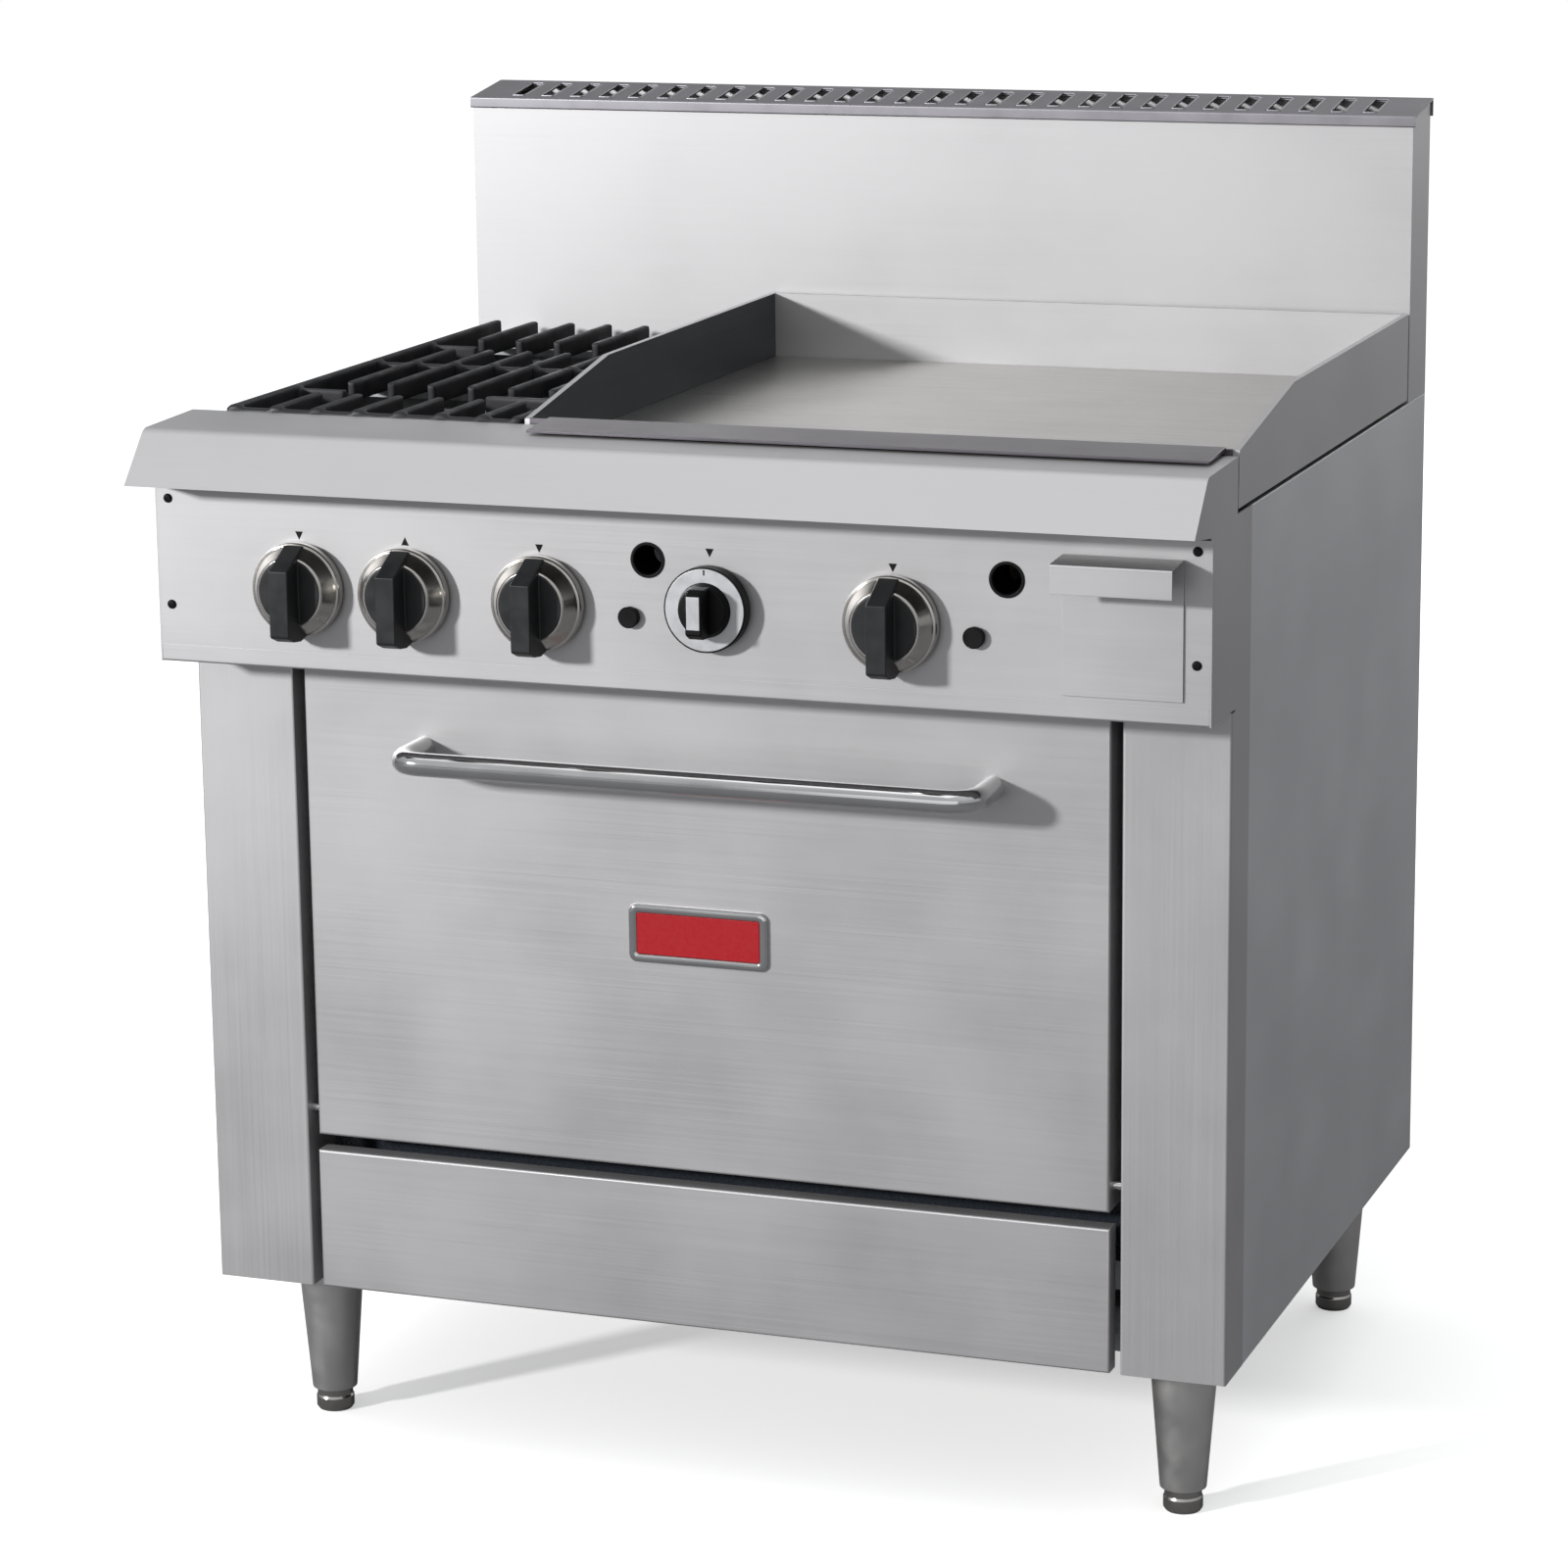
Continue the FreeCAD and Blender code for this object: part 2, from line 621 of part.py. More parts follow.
def griddle_burners():
    # two U-shaped tube burners, each fed from its valve
    shapes = []
    z, r = griddle_burner_z, griddle_tube_r
    start, cross, end = plate_front + 56, plate_front + 76, griddle_rear - 30
    for i, feed_x in enumerate(griddle_knob_x):
        x = griddle_left + griddle_width * (2 * i + 1) / 4
        legs = [rod((x + s * 55, start, z), (x + s * 55, end, z), r) for s in (-1, 1)]
        bow = rod((min(x - 55, feed_x), cross, z), (x + 55, cross, z), r - 2)
        feed = rod((feed_x, frame_front + 12, z), (feed_x, cross, z), r - 3)
        shapes.append(fused(legs + [bow, feed]))
    return shapes


# ---- backguard and flue ----
def backguard():
    front = box(-inner, inner, guard_front, guard_front + sheet, side_top, guard_z)
    rear = box(-inner, inner, frame_back, body_depth, side_top, guard_rear_z - 0.3)
    side = [(guard_front, side_top), (guard_front, guard_z), (body_depth, guard_rear_z),
            (body_depth, side_top)]
    ends = [prism_x(side, x, x + sheet) for x in (-half, inner)]
    shelf = box(-inner, inner, guard_front, guard_front + 14, side_top, side_top + sheet)
    return fused([front, rear, shelf] + ends)


def flue_cap():
    # sloped louvred cap, open through its slots
    rise = (guard_rear_z - guard_z) / (body_depth - guard_front)
    y0, y1 = guard_front - 2.0, body_depth + 3.0
    z0, z1 = guard_z - 2 * rise, guard_z + rise * (y1 - guard_front)
    x, cut = half + 2, flue_slot_width / 2
    plate = prism_x([(y0, z0), (y1, z1), (y1, z1 + 2), (y0, z0 + 2)], -x, x)
    skirt_front = box(-x, x, y0, y0 + 1.2, guard_z - 8, z0 + 1)
    skirt_rear = box(-x, x, y1 - 1.5, y1, guard_rear_z - 14, z1 + 1)
    places = [(i - (flue_slots - 1) / 2) * flue_pitch for i in range(flue_slots)]
    slots = [box(place - cut, place + cut, y0 + 12, y1 - 12, guard_z - 4, guard_rear_z + 8)
             for place in places]
    return fused([plate, skirt_front, skirt_rear]).cut(Part.makeCompound(slots))


# ---- oven ----
def oven_liner():
    t = liner_sheet
    outer = box(-cavity_half - t, cavity_half + t, front_frame_y, cavity_back + t,
                cavity_bottom - t, cavity_top + t)
    hollow = box(-cavity_half, cavity_half, front_frame_y - 1, cavity_back, cavity_bottom, cavity_top)
    flange = box(-pillar_inner, pillar_inner, front_frame_y, front_frame_y + t,
                 kick_top - apron_drop, box_bottom - 4)
    heat = box(-heat_half, heat_half, heat_y[0], heat_y[1], cavity_bottom - t - 1, cavity_bottom + 1)
    return fused([outer, flange]).cut(hollow).cut(heat)


def oven_floor():
    x, y0, y1, rise = cavity_half - 6, front_frame_y + 14, cavity_back - 14, 12.0
    plate = box(-x, x, y0, y1, cavity_bottom, cavity_bottom + rise)
    plate = plate.cut(box(-x - 1, x + 1, y0 + 2, y1 - 2, cavity_bottom - 1, cavity_bottom + rise - 2))
    slot_x, length = cavity_half - 40, 60.0
    pitch = (heat_y[1] - heat_y[0] - 110) / 2
    places = [(s * slot_x, heat_y[0] + i * pitch) for s in (-1, 1) for i in range(3)]
    slots = [box(px - 12, px + 12, py, py + length, cavity_bottom, cavity_bottom + rise + 1)
             for px, py in places]
    return plate.cut(Part.makeCompound(slots))


def rack_guide(side):
    # chrome wire ladder on the oven wall: two uprights, four runs and two spacers
    wire, thin = 3.0, 2.4
    x = side * (cavity_half - wire - 1)
    shelf = x - side * run_offset
    parts = [rod((x, y, cavity_bottom + 20), (x, y, cavity_top - 20), wire) for y in guide_y]
    for i in range(run_count):
        z = first_run_z + i * run_pitch
        parts.append(rod((shelf, front_frame_y + 36, z), (shelf, cavity_back - 8, z), wire))
        for y in guide_y:
            parts.append(rod((x, y, z), (shelf, y, z), thin))
    for y in guide_y:
        z = first_run_z - 15
        parts.append(rod((x, y, z), (side * cavity_half, y, z), thin))
    return fused(parts)


def oven_rack():
    # welded wire shelf that rests on the second pair of runs
    wire, heavy, count = 2.5, 3.5, 17
    z = first_run_z + run_pitch + 3.0 + heavy + fit
    x = cavity_half - 4 - run_offset - 2
    y0, y1 = front_frame_y + 30, cavity_back - 24
    parts = [rod((s * x, y0, z), (s * x, y1, z), heavy) for s in (-1, 1)]
    parts += [rod((-x, y, z), (x, y, z), heavy - 0.2) for y in (y0, (y0 + y1) / 2, y1)]
    for i in range(count):
        rung = -x + 2 * x * (i + 1) / (count + 1)
        parts.append(rod((rung, y0, z + 4), (rung, y1, z + 4), wire))
    parts += [Part.makeSphere(heavy + 0.2, Vector(s * x, y, z)) for s in (-1, 1) for y in (y0, y1)]
    return fused(parts)


def oven_burner():
    # tube with two cross arms, on two posts that stand on the base rails
    z = oven_burner_z
    tube = rod((0, front_frame_y + 16, z), (0, cavity_back - 54, z), 20)
    arms = [rod((-burner_arm, y, z), (burner_arm, y, z), 12) for y in (heat_y[0] + 90, heat_y[1] - 60)]
    posts = [box(-12, 12, y + 7, y + 13, base_z + 40, z) for y in base_rail_y]
    return fused([tube] + arms + posts)


def flame_spreader():
    # shallow roof over the burner, hung from the oven floor pan by four tabs
    low, ridge, thick, reach = cavity_bottom - 42, cavity_bottom - 18, 2.0, heat_half + 20
    outline = [(-reach, low), (0, ridge), (reach, low),
               (reach, low + thick), (0, ridge + thick), (-reach, low + thick)]
    tabs = [box(s * (reach - 1) - 1, s * (reach - 1) + 1, y, y + 30, low, cavity_bottom - liner_sheet)
            for s in (-1, 1) for y in (heat_y[0] + 20, heat_y[1] - 50)]
    return fused([prism_y(outline, heat_y[0] + 10, heat_y[1] - 10)] + tabs)


def oven_insulation():
    t = liner_sheet
    x, y0, y1 = pillar_inner + 3, front_frame_y + t, cavity_back + t + insulation
    blanket = box(-x, x, y0, y1, cavity_bottom - t, cavity_top + t + insulation)
    core = box(-cavity_half - t, cavity_half + t, y0 - 1, cavity_back + t,
               cavity_bottom - t - 1, cavity_top + t)
    return blanket.cut(core)


# ---- oven door ----
def door_skin():
    pan = box(-door_half, door_half, 0, door_skin_depth, door_bottom, door_top)
    pan = pan.cut(box(-door_half + sheet, door_half - sheet, sheet, door_skin_depth + 1,
                      door_bottom + sheet, door_top - sheet))
    for side in (-1, 1):
        x = side * door_half
        pan = pan.cut(rod((x - 8, hinge_y, hinge_z), (x + 8, hinge_y, hinge_z), hinge_r + seat))
    return pan


door_lining_half = door_half - 8.0
door_lining_z = (door_bottom + 11.0, door_top - 8.0)


def door_liner():
    # inner pan; its rim closes the back of the outer pan
    x, (z0, z1) = door_lining_half, door_lining_z
    y0, y1 = door_skin_depth, door_skin_depth + door_liner_depth
    rim = box(-door_half, door_half, y0, y0 + sheet, door_bottom + 4, door_top)
    raised = box(-x, x, y0, y1, z0, z1)
    raised = raised.cut(box(-x + sheet, x - sheet, y0 - 1, y1 - sheet, z0 + sheet, z1 - sheet))
    opening = box(-x + sheet, x - sheet, y0 - 1, y0 + sheet + 1, z0 + sheet, z1 - sheet)
    return fused([rim.cut(opening), raised])


def door_insulation():
    x = door_half - sheet - 14
    return box(-x, x, sheet, door_skin_depth + door_liner_depth - sheet, door_bottom + 34, door_top - 14)


def door_gasket():
    y0 = door_skin_depth + door_liner_depth
    y1 = front_frame_y - fit
    x, z0, z1, rope = cavity_half + 16, cavity_bottom - 12, cavity_top + 16, 10.0
    outer = box(-x, x, y0, y1, z0, z1)
    return outer.cut(box(-x + rope, x - rope, y0 - 1, y1 + 1, z0 + rope, z1 - rope))


def handle_path(radius, end_y):
    # straight bar whose ends turn back to the door in one bend
    bend = 22.0
    left, right = handle_x
    parts = [rod((left + bend, handle_y, handle_z), (right - bend, handle_y, handle_z), radius)]
    for end, inward in ((left, 1), (right, -1)):
        centre = Vector(end + inward * bend, handle_y + bend, handle_z)
        circle = Part.makeCircle(radius, Vector(end + inward * bend, handle_y, handle_z), Vector(1, 0, 0))
        parts.append(Part.Face(Part.Wire(circle)).revolve(centre, Vector(0, 0, 1), -90 * inward))
        parts.append(rod((end, handle_y + bend, handle_z), (end, end_y, handle_z), radius))
    return fused(parts)


def door_handle():
    return handle_path(handle_r, 0).cut(handle_path(handle_r - handle_wall, 1))


def hinge_pins():
    shapes = []
    for side in (-1, 1):
        near, far = side * (door_half - 10), side * (pillar_inner + 16)
        shapes.append(rod((near, hinge_y, hinge_z), (far, hinge_y, hinge_z), hinge_r))
    return shapes


def badge():
    w, h = badge_size
    plate = box(-w / 2, w / 2, -4, 0, badge_z - h / 2, badge_z + h / 2)
    corners = [e for e in plate.Edges if abs(e.Vertexes[0].Point.y - e.Vertexes[-1].Point.y) > 3]
    return plate.makeFillet(8, corners)


# ---- grease drawer ----
def grease_drawer():
    x0, x1 = drawer_x[0] + 5, drawer_x[1] - 5
    y0, y1 = box_front, box_front + drawer_length
    z0, z1 = drawer_z[0] + 5, drawer_z[0] + 5 + drawer_wall
    tray = box(x0, x1, y0, y1, z0, z1)
    return tray.cut(box(x0 + 1.2, x1 - 1.2, y0 + 1.2, y1 - 1.2, z0 + 1.2, z1 + 1))


def drawer_front():
    # flat front with its top edge folded forward and down into a full-width pull
    y1 = box_front - fit
    y0 = y1 - sheet
    z0, z1 = drawer_z
    front = box_front - pull_depth
    face = box(drawer_x[0], drawer_x[1], y0, y1, z0, z1 + pull_rise)
    pull = bent([(front, z1 - pull_drop), (front, z1), (y1, z1 + pull_rise)], sheet, drawer_x[0], drawer_x[1])
    return fused([face, pull])


# ---- legs ----
def leg_places():
    return [(side * (half - leg_inset), y) for side in (-1, 1) for y in leg_y]


def legs():
    shapes = []
    for x, y in leg_places():
        cone = Part.makeCone(leg_low_r, leg_top_r, base_z - leg_low_z, Vector(x, y, leg_low_z))
        shapes.append(cone.cut(rod((x, y, leg_low_z - 1), (x, y, 90), 6 + seat)))
    return shapes


def leg_feet():
    shapes = []
    for x, y in leg_places():
        outline = [(0, 0), (foot_r - 2, 0), (foot_r, 2), (foot_r, foot_height), (6, foot_height),
                   (6, 84), (0, 84)]
        shapes.append(turned(outline, (x, y, 0), (0, 0, 1)))
    return shapes


# ---- write every node ----
save("base_frame", *base_frame())
save("hob_frame", *hob_frame())
save("side_panel_right", side_panel())
save("side_panel_left", mirrored(side_panel()))
save("front_pillar_right", front_pillar())
save("front_pillar_left", mirrored(front_pillar()))
save("kick_panel", kick_panel())
save("back_panel", back_panel())
save("control_box", control_box())
save("bull_nose", bull_nose())
save("control_panel", control_panel())
save("panel_screws", *panel_screws())
save("port_grommets", *port_grommets())
for name, x in zip(("left", "right"), button_x):
    save("igniter_button_" + name, igniter_button(x))
for kind, places in (("burner", burner_knob_x), ("griddle", griddle_knob_x)):
    for name, x in zip(("left", "right"), places):
        save(kind + "_knob_" + name, *burner_knob(x))
        save(kind + "_skirt_" + name, knob_skirt(x))
save("thermostat_knob", *thermostat_knob())
save("thermostat_dial", thermostat_dial())
save("gas_manifold", gas_manifold())
save("gas_valves", *gas_valves())
save("oven_thermostat", valve(thermostat_x, dial_z, 22.0))
save("gas_inlet_pipe", gas_inlet_pipe())
for name, y in zip(("front", "rear"), burner_y):
    save("burner_" + name, burner_head(y))
    save("grate_" + name, grate(y - burner_y[0] + grate_start))
save("burner_tubes", *burner_tubes())
save("spill_tray", spill_tray())
save("griddle_plate", griddle_plate())
save("griddle_splash", griddle_splash())
save("griddle_trough", griddle_trough())
save("griddle_burners", *griddle_burners())
save("backguard", backguard())
save("flue_cap", flue_cap())
save("oven_liner", oven_liner())
save("oven_floor", oven_floor())
save("rack_guide_left", rack_guide(-1))
save("rack_guide_right", rack_guide(1))
save("oven_rack", oven_rack())
save("oven_burner", oven_burner())
save("flame_spreader", flame_spreader())
save("oven_insulation", oven_insulation())
save("door_skin", door_skin())
save("door_liner", door_liner())
save("door_insulation", door_insulation())
save("door_gasket", door_gasket())
save("door_handle", door_handle())
save("hinge_pins", *hinge_pins())
save("badge", badge())
save("grease_drawer", grease_drawer())
save("drawer_front", drawer_front())
save("legs", *legs())
save("leg_feet", *leg_feet())
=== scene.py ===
import math

import bmesh
import bpy
from mathutils import Matrix, Vector


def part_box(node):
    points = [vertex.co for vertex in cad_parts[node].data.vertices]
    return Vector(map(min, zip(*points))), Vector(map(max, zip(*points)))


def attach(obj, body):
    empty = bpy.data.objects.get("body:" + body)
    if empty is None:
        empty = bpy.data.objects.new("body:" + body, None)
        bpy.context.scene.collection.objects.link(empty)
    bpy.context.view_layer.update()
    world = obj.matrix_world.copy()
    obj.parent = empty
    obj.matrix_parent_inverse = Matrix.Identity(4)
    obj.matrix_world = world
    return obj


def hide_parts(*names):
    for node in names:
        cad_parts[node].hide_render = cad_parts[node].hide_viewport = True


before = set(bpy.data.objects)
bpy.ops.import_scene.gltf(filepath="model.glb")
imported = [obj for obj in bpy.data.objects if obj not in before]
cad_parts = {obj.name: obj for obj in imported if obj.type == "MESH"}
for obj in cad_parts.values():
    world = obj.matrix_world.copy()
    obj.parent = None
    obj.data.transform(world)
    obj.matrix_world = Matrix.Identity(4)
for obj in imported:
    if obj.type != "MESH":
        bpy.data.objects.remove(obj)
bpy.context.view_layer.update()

mm = 0.001
print("frame loaded")

# the camera stands right of the middle and looks down a little on the cooktop
cameraSetup = {"place": (1.3907, -3.9112, 1.5192), "yaw": 0.3487, "pitch": 0.2269, "roll": -0.0108,
               "lens": 109.87, "sensor": 36.0}


def makeCamera():
    setup = cameraSetup
    yaw, pitch, roll = setup["yaw"], setup["pitch"], setup["roll"]
    forward = Vector((-math.sin(yaw) * math.cos(pitch), math.cos(yaw) * math.cos(pitch), -math.sin(pitch)))
    side = Vector((math.cos(yaw), math.sin(yaw), 0))
    rise = side.cross(forward)
    right = side * math.cos(roll) + rise * math.sin(roll)
    up = rise * math.cos(roll) - side * math.sin(roll)
    data = bpy.data.cameras.new("rangeCamera")
    data.lens, data.sensor_width = setup["lens"], setup["sensor"]
    camera = bpy.data.objects.new("rangeCamera", data)
    turn = Matrix((right, up, -forward)).transposed().to_4x4()
    camera.matrix_world = Matrix.Translation(Vector(setup["place"])) @ turn
    bpy.context.scene.collection.objects.link(camera)
    bpy.context.scene.camera = camera


makeCamera()


# the floor is dimmer in reflections than the camera sees it, as if it ended close behind the camera
studio = {"floorSize": 30.0, "floorTone": "#f4f4f3", "floorReflected": "#7d7d7f", "floorGlow": 0.45,
          # brightness of the air by direction
          "air": {"top": 0.5, "front": 0.28, "back": 0.2, "left": 0.0, "right": 0.12},
          "lights": {  # name: place, aim, width, height, watts
              "keyLight": ((-6.0, -7.4, 3.1), (0.0, -0.36, 0.75), 0.7, 0.7, 900.0),
              "frontPanel": ((0.4, -5.0, 1.0), (0.0, 0.0, 0.7), 4.0, 3.0, 22.0),
              "topPanel": ((-0.4, -0.6, 3.8), (0.0, 0.0, 0.9), 3.0, 3.0, 22.0),
              "rearPanel": ((1.6, 5.0, 2.2), (0.0, 0.0, 0.7), 4.0, 3.0, 60.0)}}


def toLinear(hexTone):
    channels = [int(hexTone[i:i + 2], 16) / 255 for i in (1, 3, 5)]
    return [c / 12.92 if c <= 0.04045 else ((c + 0.055) / 1.055) ** 2.4 for c in channels] + [1.0]


def addNode(tree, kind, settings=None, links=None):
    node = tree.nodes.new(kind)
    for name, value in (settings or {}).items():
        if isinstance(name, str) and hasattr(node, name):
            setattr(node, name, value)
        else:
            node.inputs[name].default_value = value
    for name, socket in (links or {}).items():
        tree.links.new(socket, node.inputs[name])
    return node


def makeWorld():
    world = bpy.data.worlds.new("studioAir")
    world.use_nodes = True
    tree = world.node_tree
    tree.nodes.clear()
    air = studio["air"]
    direction = addNode(tree, "ShaderNodeTexCoord")
    way = addNode(tree, "ShaderNodeSeparateXYZ", {}, {0: direction.outputs["Generated"]})
    high = addNode(tree, "ShaderNodeMapRange", {"To Max": air["top"]}, {"Value": way.outputs["Z"]})
    deep = addNode(tree, "ShaderNodeMapRange",
                   {"From Min": -1.0, "To Min": air["front"], "To Max": air["back"]},
                   {"Value": way.outputs["Y"]})
    wide = addNode(tree, "ShaderNodeMapRange",
                   {"From Min": -1.0, "To Min": air["left"], "To Max": air["right"]},
                   {"Value": way.outputs["X"]})
    level = addNode(tree, "ShaderNodeMath", {"operation": "ADD"}, {0: high.outputs[0], 1: deep.outputs[0]})
    total = addNode(tree, "ShaderNodeMath", {"operation": "ADD"}, {0: level.outputs[0], 1: wide.outputs[0]})
    ray = addNode(tree, "ShaderNodeLightPath")
    seen = addNode(tree, "ShaderNodeBackground", {"Color": (1, 1, 1, 1), "Strength": 1.0})
    around = addNode(tree, "ShaderNodeBackground", {"Color": (0.97, 0.985, 1.0, 1)},
                     {"Strength": total.outputs[0]})
    both = addNode(tree, "ShaderNodeMixShader", {},
                   {0: ray.outputs["Is Camera Ray"], 1: around.outputs[0], 2: seen.outputs[0]})
    addNode(tree, "ShaderNodeOutputWorld", {}, {"Surface": both.outputs[0]})
    bpy.context.scene.world = world


def makeStudio():
    scene = bpy.context.scene
    scene.view_settings.view_transform = "Standard"
    half = studio["floorSize"] / 2
    mesh = bpy.data.meshes.new("studioFloor")
    corners = [(-half, -half, 0), (half, -half, 0), (half, half, 0), (-half, half, 0)]
    mesh.from_pydata(corners, [], [(0, 1, 2, 3)])
    floor = bpy.data.objects.new("studioFloor", mesh)
    scene.collection.objects.link(floor)
    material = bpy.data.materials.new("palePaper")
    material.use_nodes = True
    tree = material.node_tree
    tree.nodes.clear()
    paper = addNode(tree, "ShaderNodeBsdfDiffuse", {"Color": toLinear(studio["floorTone"])})
    glow = addNode(tree, "ShaderNodeEmission", {"Strength": studio["floorGlow"]})
    pale = addNode(tree, "ShaderNodeAddShader", {}, {0: paper.outputs[0], 1: glow.outputs[0]})
    dimmed = addNode(tree, "ShaderNodeBsdfDiffuse", {"Color": toLinear(studio["floorReflected"])})
    ray = addNode(tree, "ShaderNodeLightPath")
    both = addNode(tree, "ShaderNodeMixShader", {},
                   {0: ray.outputs["Is Camera Ray"], 1: dimmed.outputs[0], 2: pale.outputs[0]})
    addNode(tree, "ShaderNodeOutputMaterial", {}, {"Surface": both.outputs[0]})
    mesh.materials.append(material)
    for name, (place, aim, width, height, watts) in studio["lights"].items():
        data = bpy.data.lights.new(name, "AREA")
        data.shape, data.size, data.size_y, data.energy = "RECTANGLE", width, height, watts
        lamp = bpy.data.objects.new(name, data)
        away = Vector(place) - Vector(aim)
        lamp.visible_camera = False
        lamp.matrix_world = Matrix.Translation(place) @ away.to_track_quat("Z", "Y").to_matrix().to_4x4()
        scene.collection.objects.link(lamp)


makeWorld()
makeStudio()
print("studio ready")


# finishes
def startMaterial(name, tone, metallic, roughness):
    material = bpy.data.materials.new(name)
    material.use_nodes = True
    tree = material.node_tree
    shader = tree.nodes["Principled BSDF"]
    shader.inputs["Base Color"].default_value = toLinear(tone)
    shader.inputs["Metallic"].default_value = metallic
    shader.inputs["Roughness"].default_value = roughness
    place = addNode(tree, "ShaderNodeTexCoord").outputs["Object"]
    return material, tree, shader, place


def varyTone(tree, shader, factor, low, high):
    mix = addNode(tree, "ShaderNodeMix", {"data_type": "RGBA"}, {0: factor})
    mix.inputs[6].default_value = toLinear(low)
    mix.inputs[7].default_value = toLinear(high)
    tree.links.new(mix.outputs[2], shader.inputs["Base Color"])


def varyRoughness(tree, shader, factor, low, high):
    # noise mostly lies between 0.3 and 0.7
    spread = addNode(tree, "ShaderNodeMapRange",
                     {"From Min": 0.3, "From Max": 0.7, "To Min": low, "To Max": high},
                     {"Value": factor})
    tree.links.new(spread.outputs["Result"], shader.inputs["Roughness"])


def addBump(tree, shader, height, strength, distance):
    bump = addNode(tree, "ShaderNodeBump", {"Strength": strength, "Distance": distance}, {"Height": height})
    tree.links.new(bump.outputs["Normal"], shader.inputs["Normal"])


def brushedSheet(name, grain, low="#aeadae", high="#bab9ba", smooth=0.45, dull=0.54, metallic=0.82):
    # 304 stainless sheet with a No. 4 brushed finish: a wide soft highlight and faint streaks along the grain
    material, tree, shader, place = startMaterial(name, high, metallic, 0.5)
    acrossGrain, alongGrain = 1 / (1.4 * mm), 1 / (260 * mm)  # drawn coarser than the real 0.1 mm scratches
    scale = [acrossGrain] * 3
    scale[grain] = alongGrain
    stretch = addNode(tree, "ShaderNodeMapping", {"Scale": scale}, {"Vector": place})
    streaks = addNode(tree, "ShaderNodeTexNoise", {"Scale": 1.0, "Detail": 3.0, "Roughness": 0.65},
                      {"Vector": stretch.outputs["Vector"]})
    handling = addNode(tree, "ShaderNodeTexNoise", {"Scale": 1 / (160 * mm), "Detail": 4.0},
                       {"Vector": place})
    both = addNode(tree, "ShaderNodeMath", {"operation": "MULTIPLY_ADD", 1: 0.55},
                   {0: streaks.outputs["Fac"], 2: handling.outputs["Fac"]})
    shift = addNode(tree, "ShaderNodeMath", {"operation": "SUBTRACT", 1: 0.28}, {0: both.outputs[0]})
    varyTone(tree, shader, shift.outputs[0], low, high)
    varyRoughness(tree, shader, shift.outputs[0], smooth, dull)
    addBump(tree, shader, streaks.outputs["Fac"], 0.45, 0.06 * mm)
    return material


def castIron(name):
    # grey iron sand casting, seasoned black: dull, pebbled, a little shine where pans rub
    material, tree, shader, place = startMaterial(name, "#17171a", 0.35, 0.55)
    sand = addNode(tree, "ShaderNodeTexNoise", {"Scale": 1 / (1.6 * mm), "Detail": 4.0, "Roughness": 0.7},
                   {"Vector": place})
    patches = addNode(tree, "ShaderNodeTexNoise", {"Scale": 1 / (30 * mm), "Detail": 3.0}, {"Vector": place})
    varyTone(tree, shader, patches.outputs["Fac"], "#0d0d10", "#232327")
    varyRoughness(tree, shader, patches.outputs["Fac"], 0.42, 0.66)
    addBump(tree, shader, sand.outputs["Fac"], 0.5, 0.25 * mm)
    return material


def groundPlate(name):
    # machined griddle plate: fine sideways grinding marks, bright, with faint heat and oil clouds
    material, tree, shader, place = startMaterial(name, "#b4b3af", 1.0, 0.26)
    stretch = addNode(tree, "ShaderNodeMapping", {"Scale": (1 / (180 * mm), 1 / (1.8 * mm), 1 / (2 * mm))},
                      {"Vector": place})
    marks = addNode(tree, "ShaderNodeTexNoise", {"Scale": 1.0, "Detail": 4.0, "Roughness": 0.7},
                    {"Vector": stretch.outputs["Vector"]})
    oil = addNode(tree, "ShaderNodeTexNoise", {"Scale": 1 / (220 * mm), "Detail": 5.0, "Distortion": 0.6},
                  {"Vector": place})
    varyTone(tree, shader, oil.outputs["Fac"], "#93928f", "#b5b4b1")
    varyRoughness(tree, shader, marks.outputs["Fac"], 0.26, 0.38)
    addBump(tree, shader, marks.outputs["Fac"], 0.22, 0.05 * mm)
    return material


def platedMetal(name, low, high, smooth, dull, spot):
    # mill or plated metal: a plain sheen broken by soft spots of the given size
    material, tree, shader, place = startMaterial(name, high, 1.0, smooth)
    spots = addNode(tree, "ShaderNodeTexNoise", {"Scale": 1 / (spot * mm), "Detail": 3.0, "Roughness": 0.6},
                    {"Vector": place})
    varyTone(tree, shader, spots.outputs["Fac"], low, high)
    varyRoughness(tree, shader, spots.outputs["Fac"], smooth, dull)
    addBump(tree, shader, spots.outputs["Fac"], 0.1, 0.03 * mm)
    return material


def spangledZinc(name):
    # hot-dip galvanised sheet: flat crystal spangles a few millimetres across
    material, tree, shader, place = startMaterial(name, "#a3a6a8", 0.9, 0.45)
    spangle = addNode(tree, "ShaderNodeTexVoronoi", {"Scale": 1 / (9 * mm)}, {"Vector": place})
    varyTone(tree, shader, spangle.outputs["Distance"], "#8d9194", "#adb1b3")
    varyRoughness(tree, shader, spangle.outputs["Distance"], 0.38, 0.55)
    addBump(tree, shader, spangle.outputs["Distance"], 0.08, 0.05 * mm)
    return material


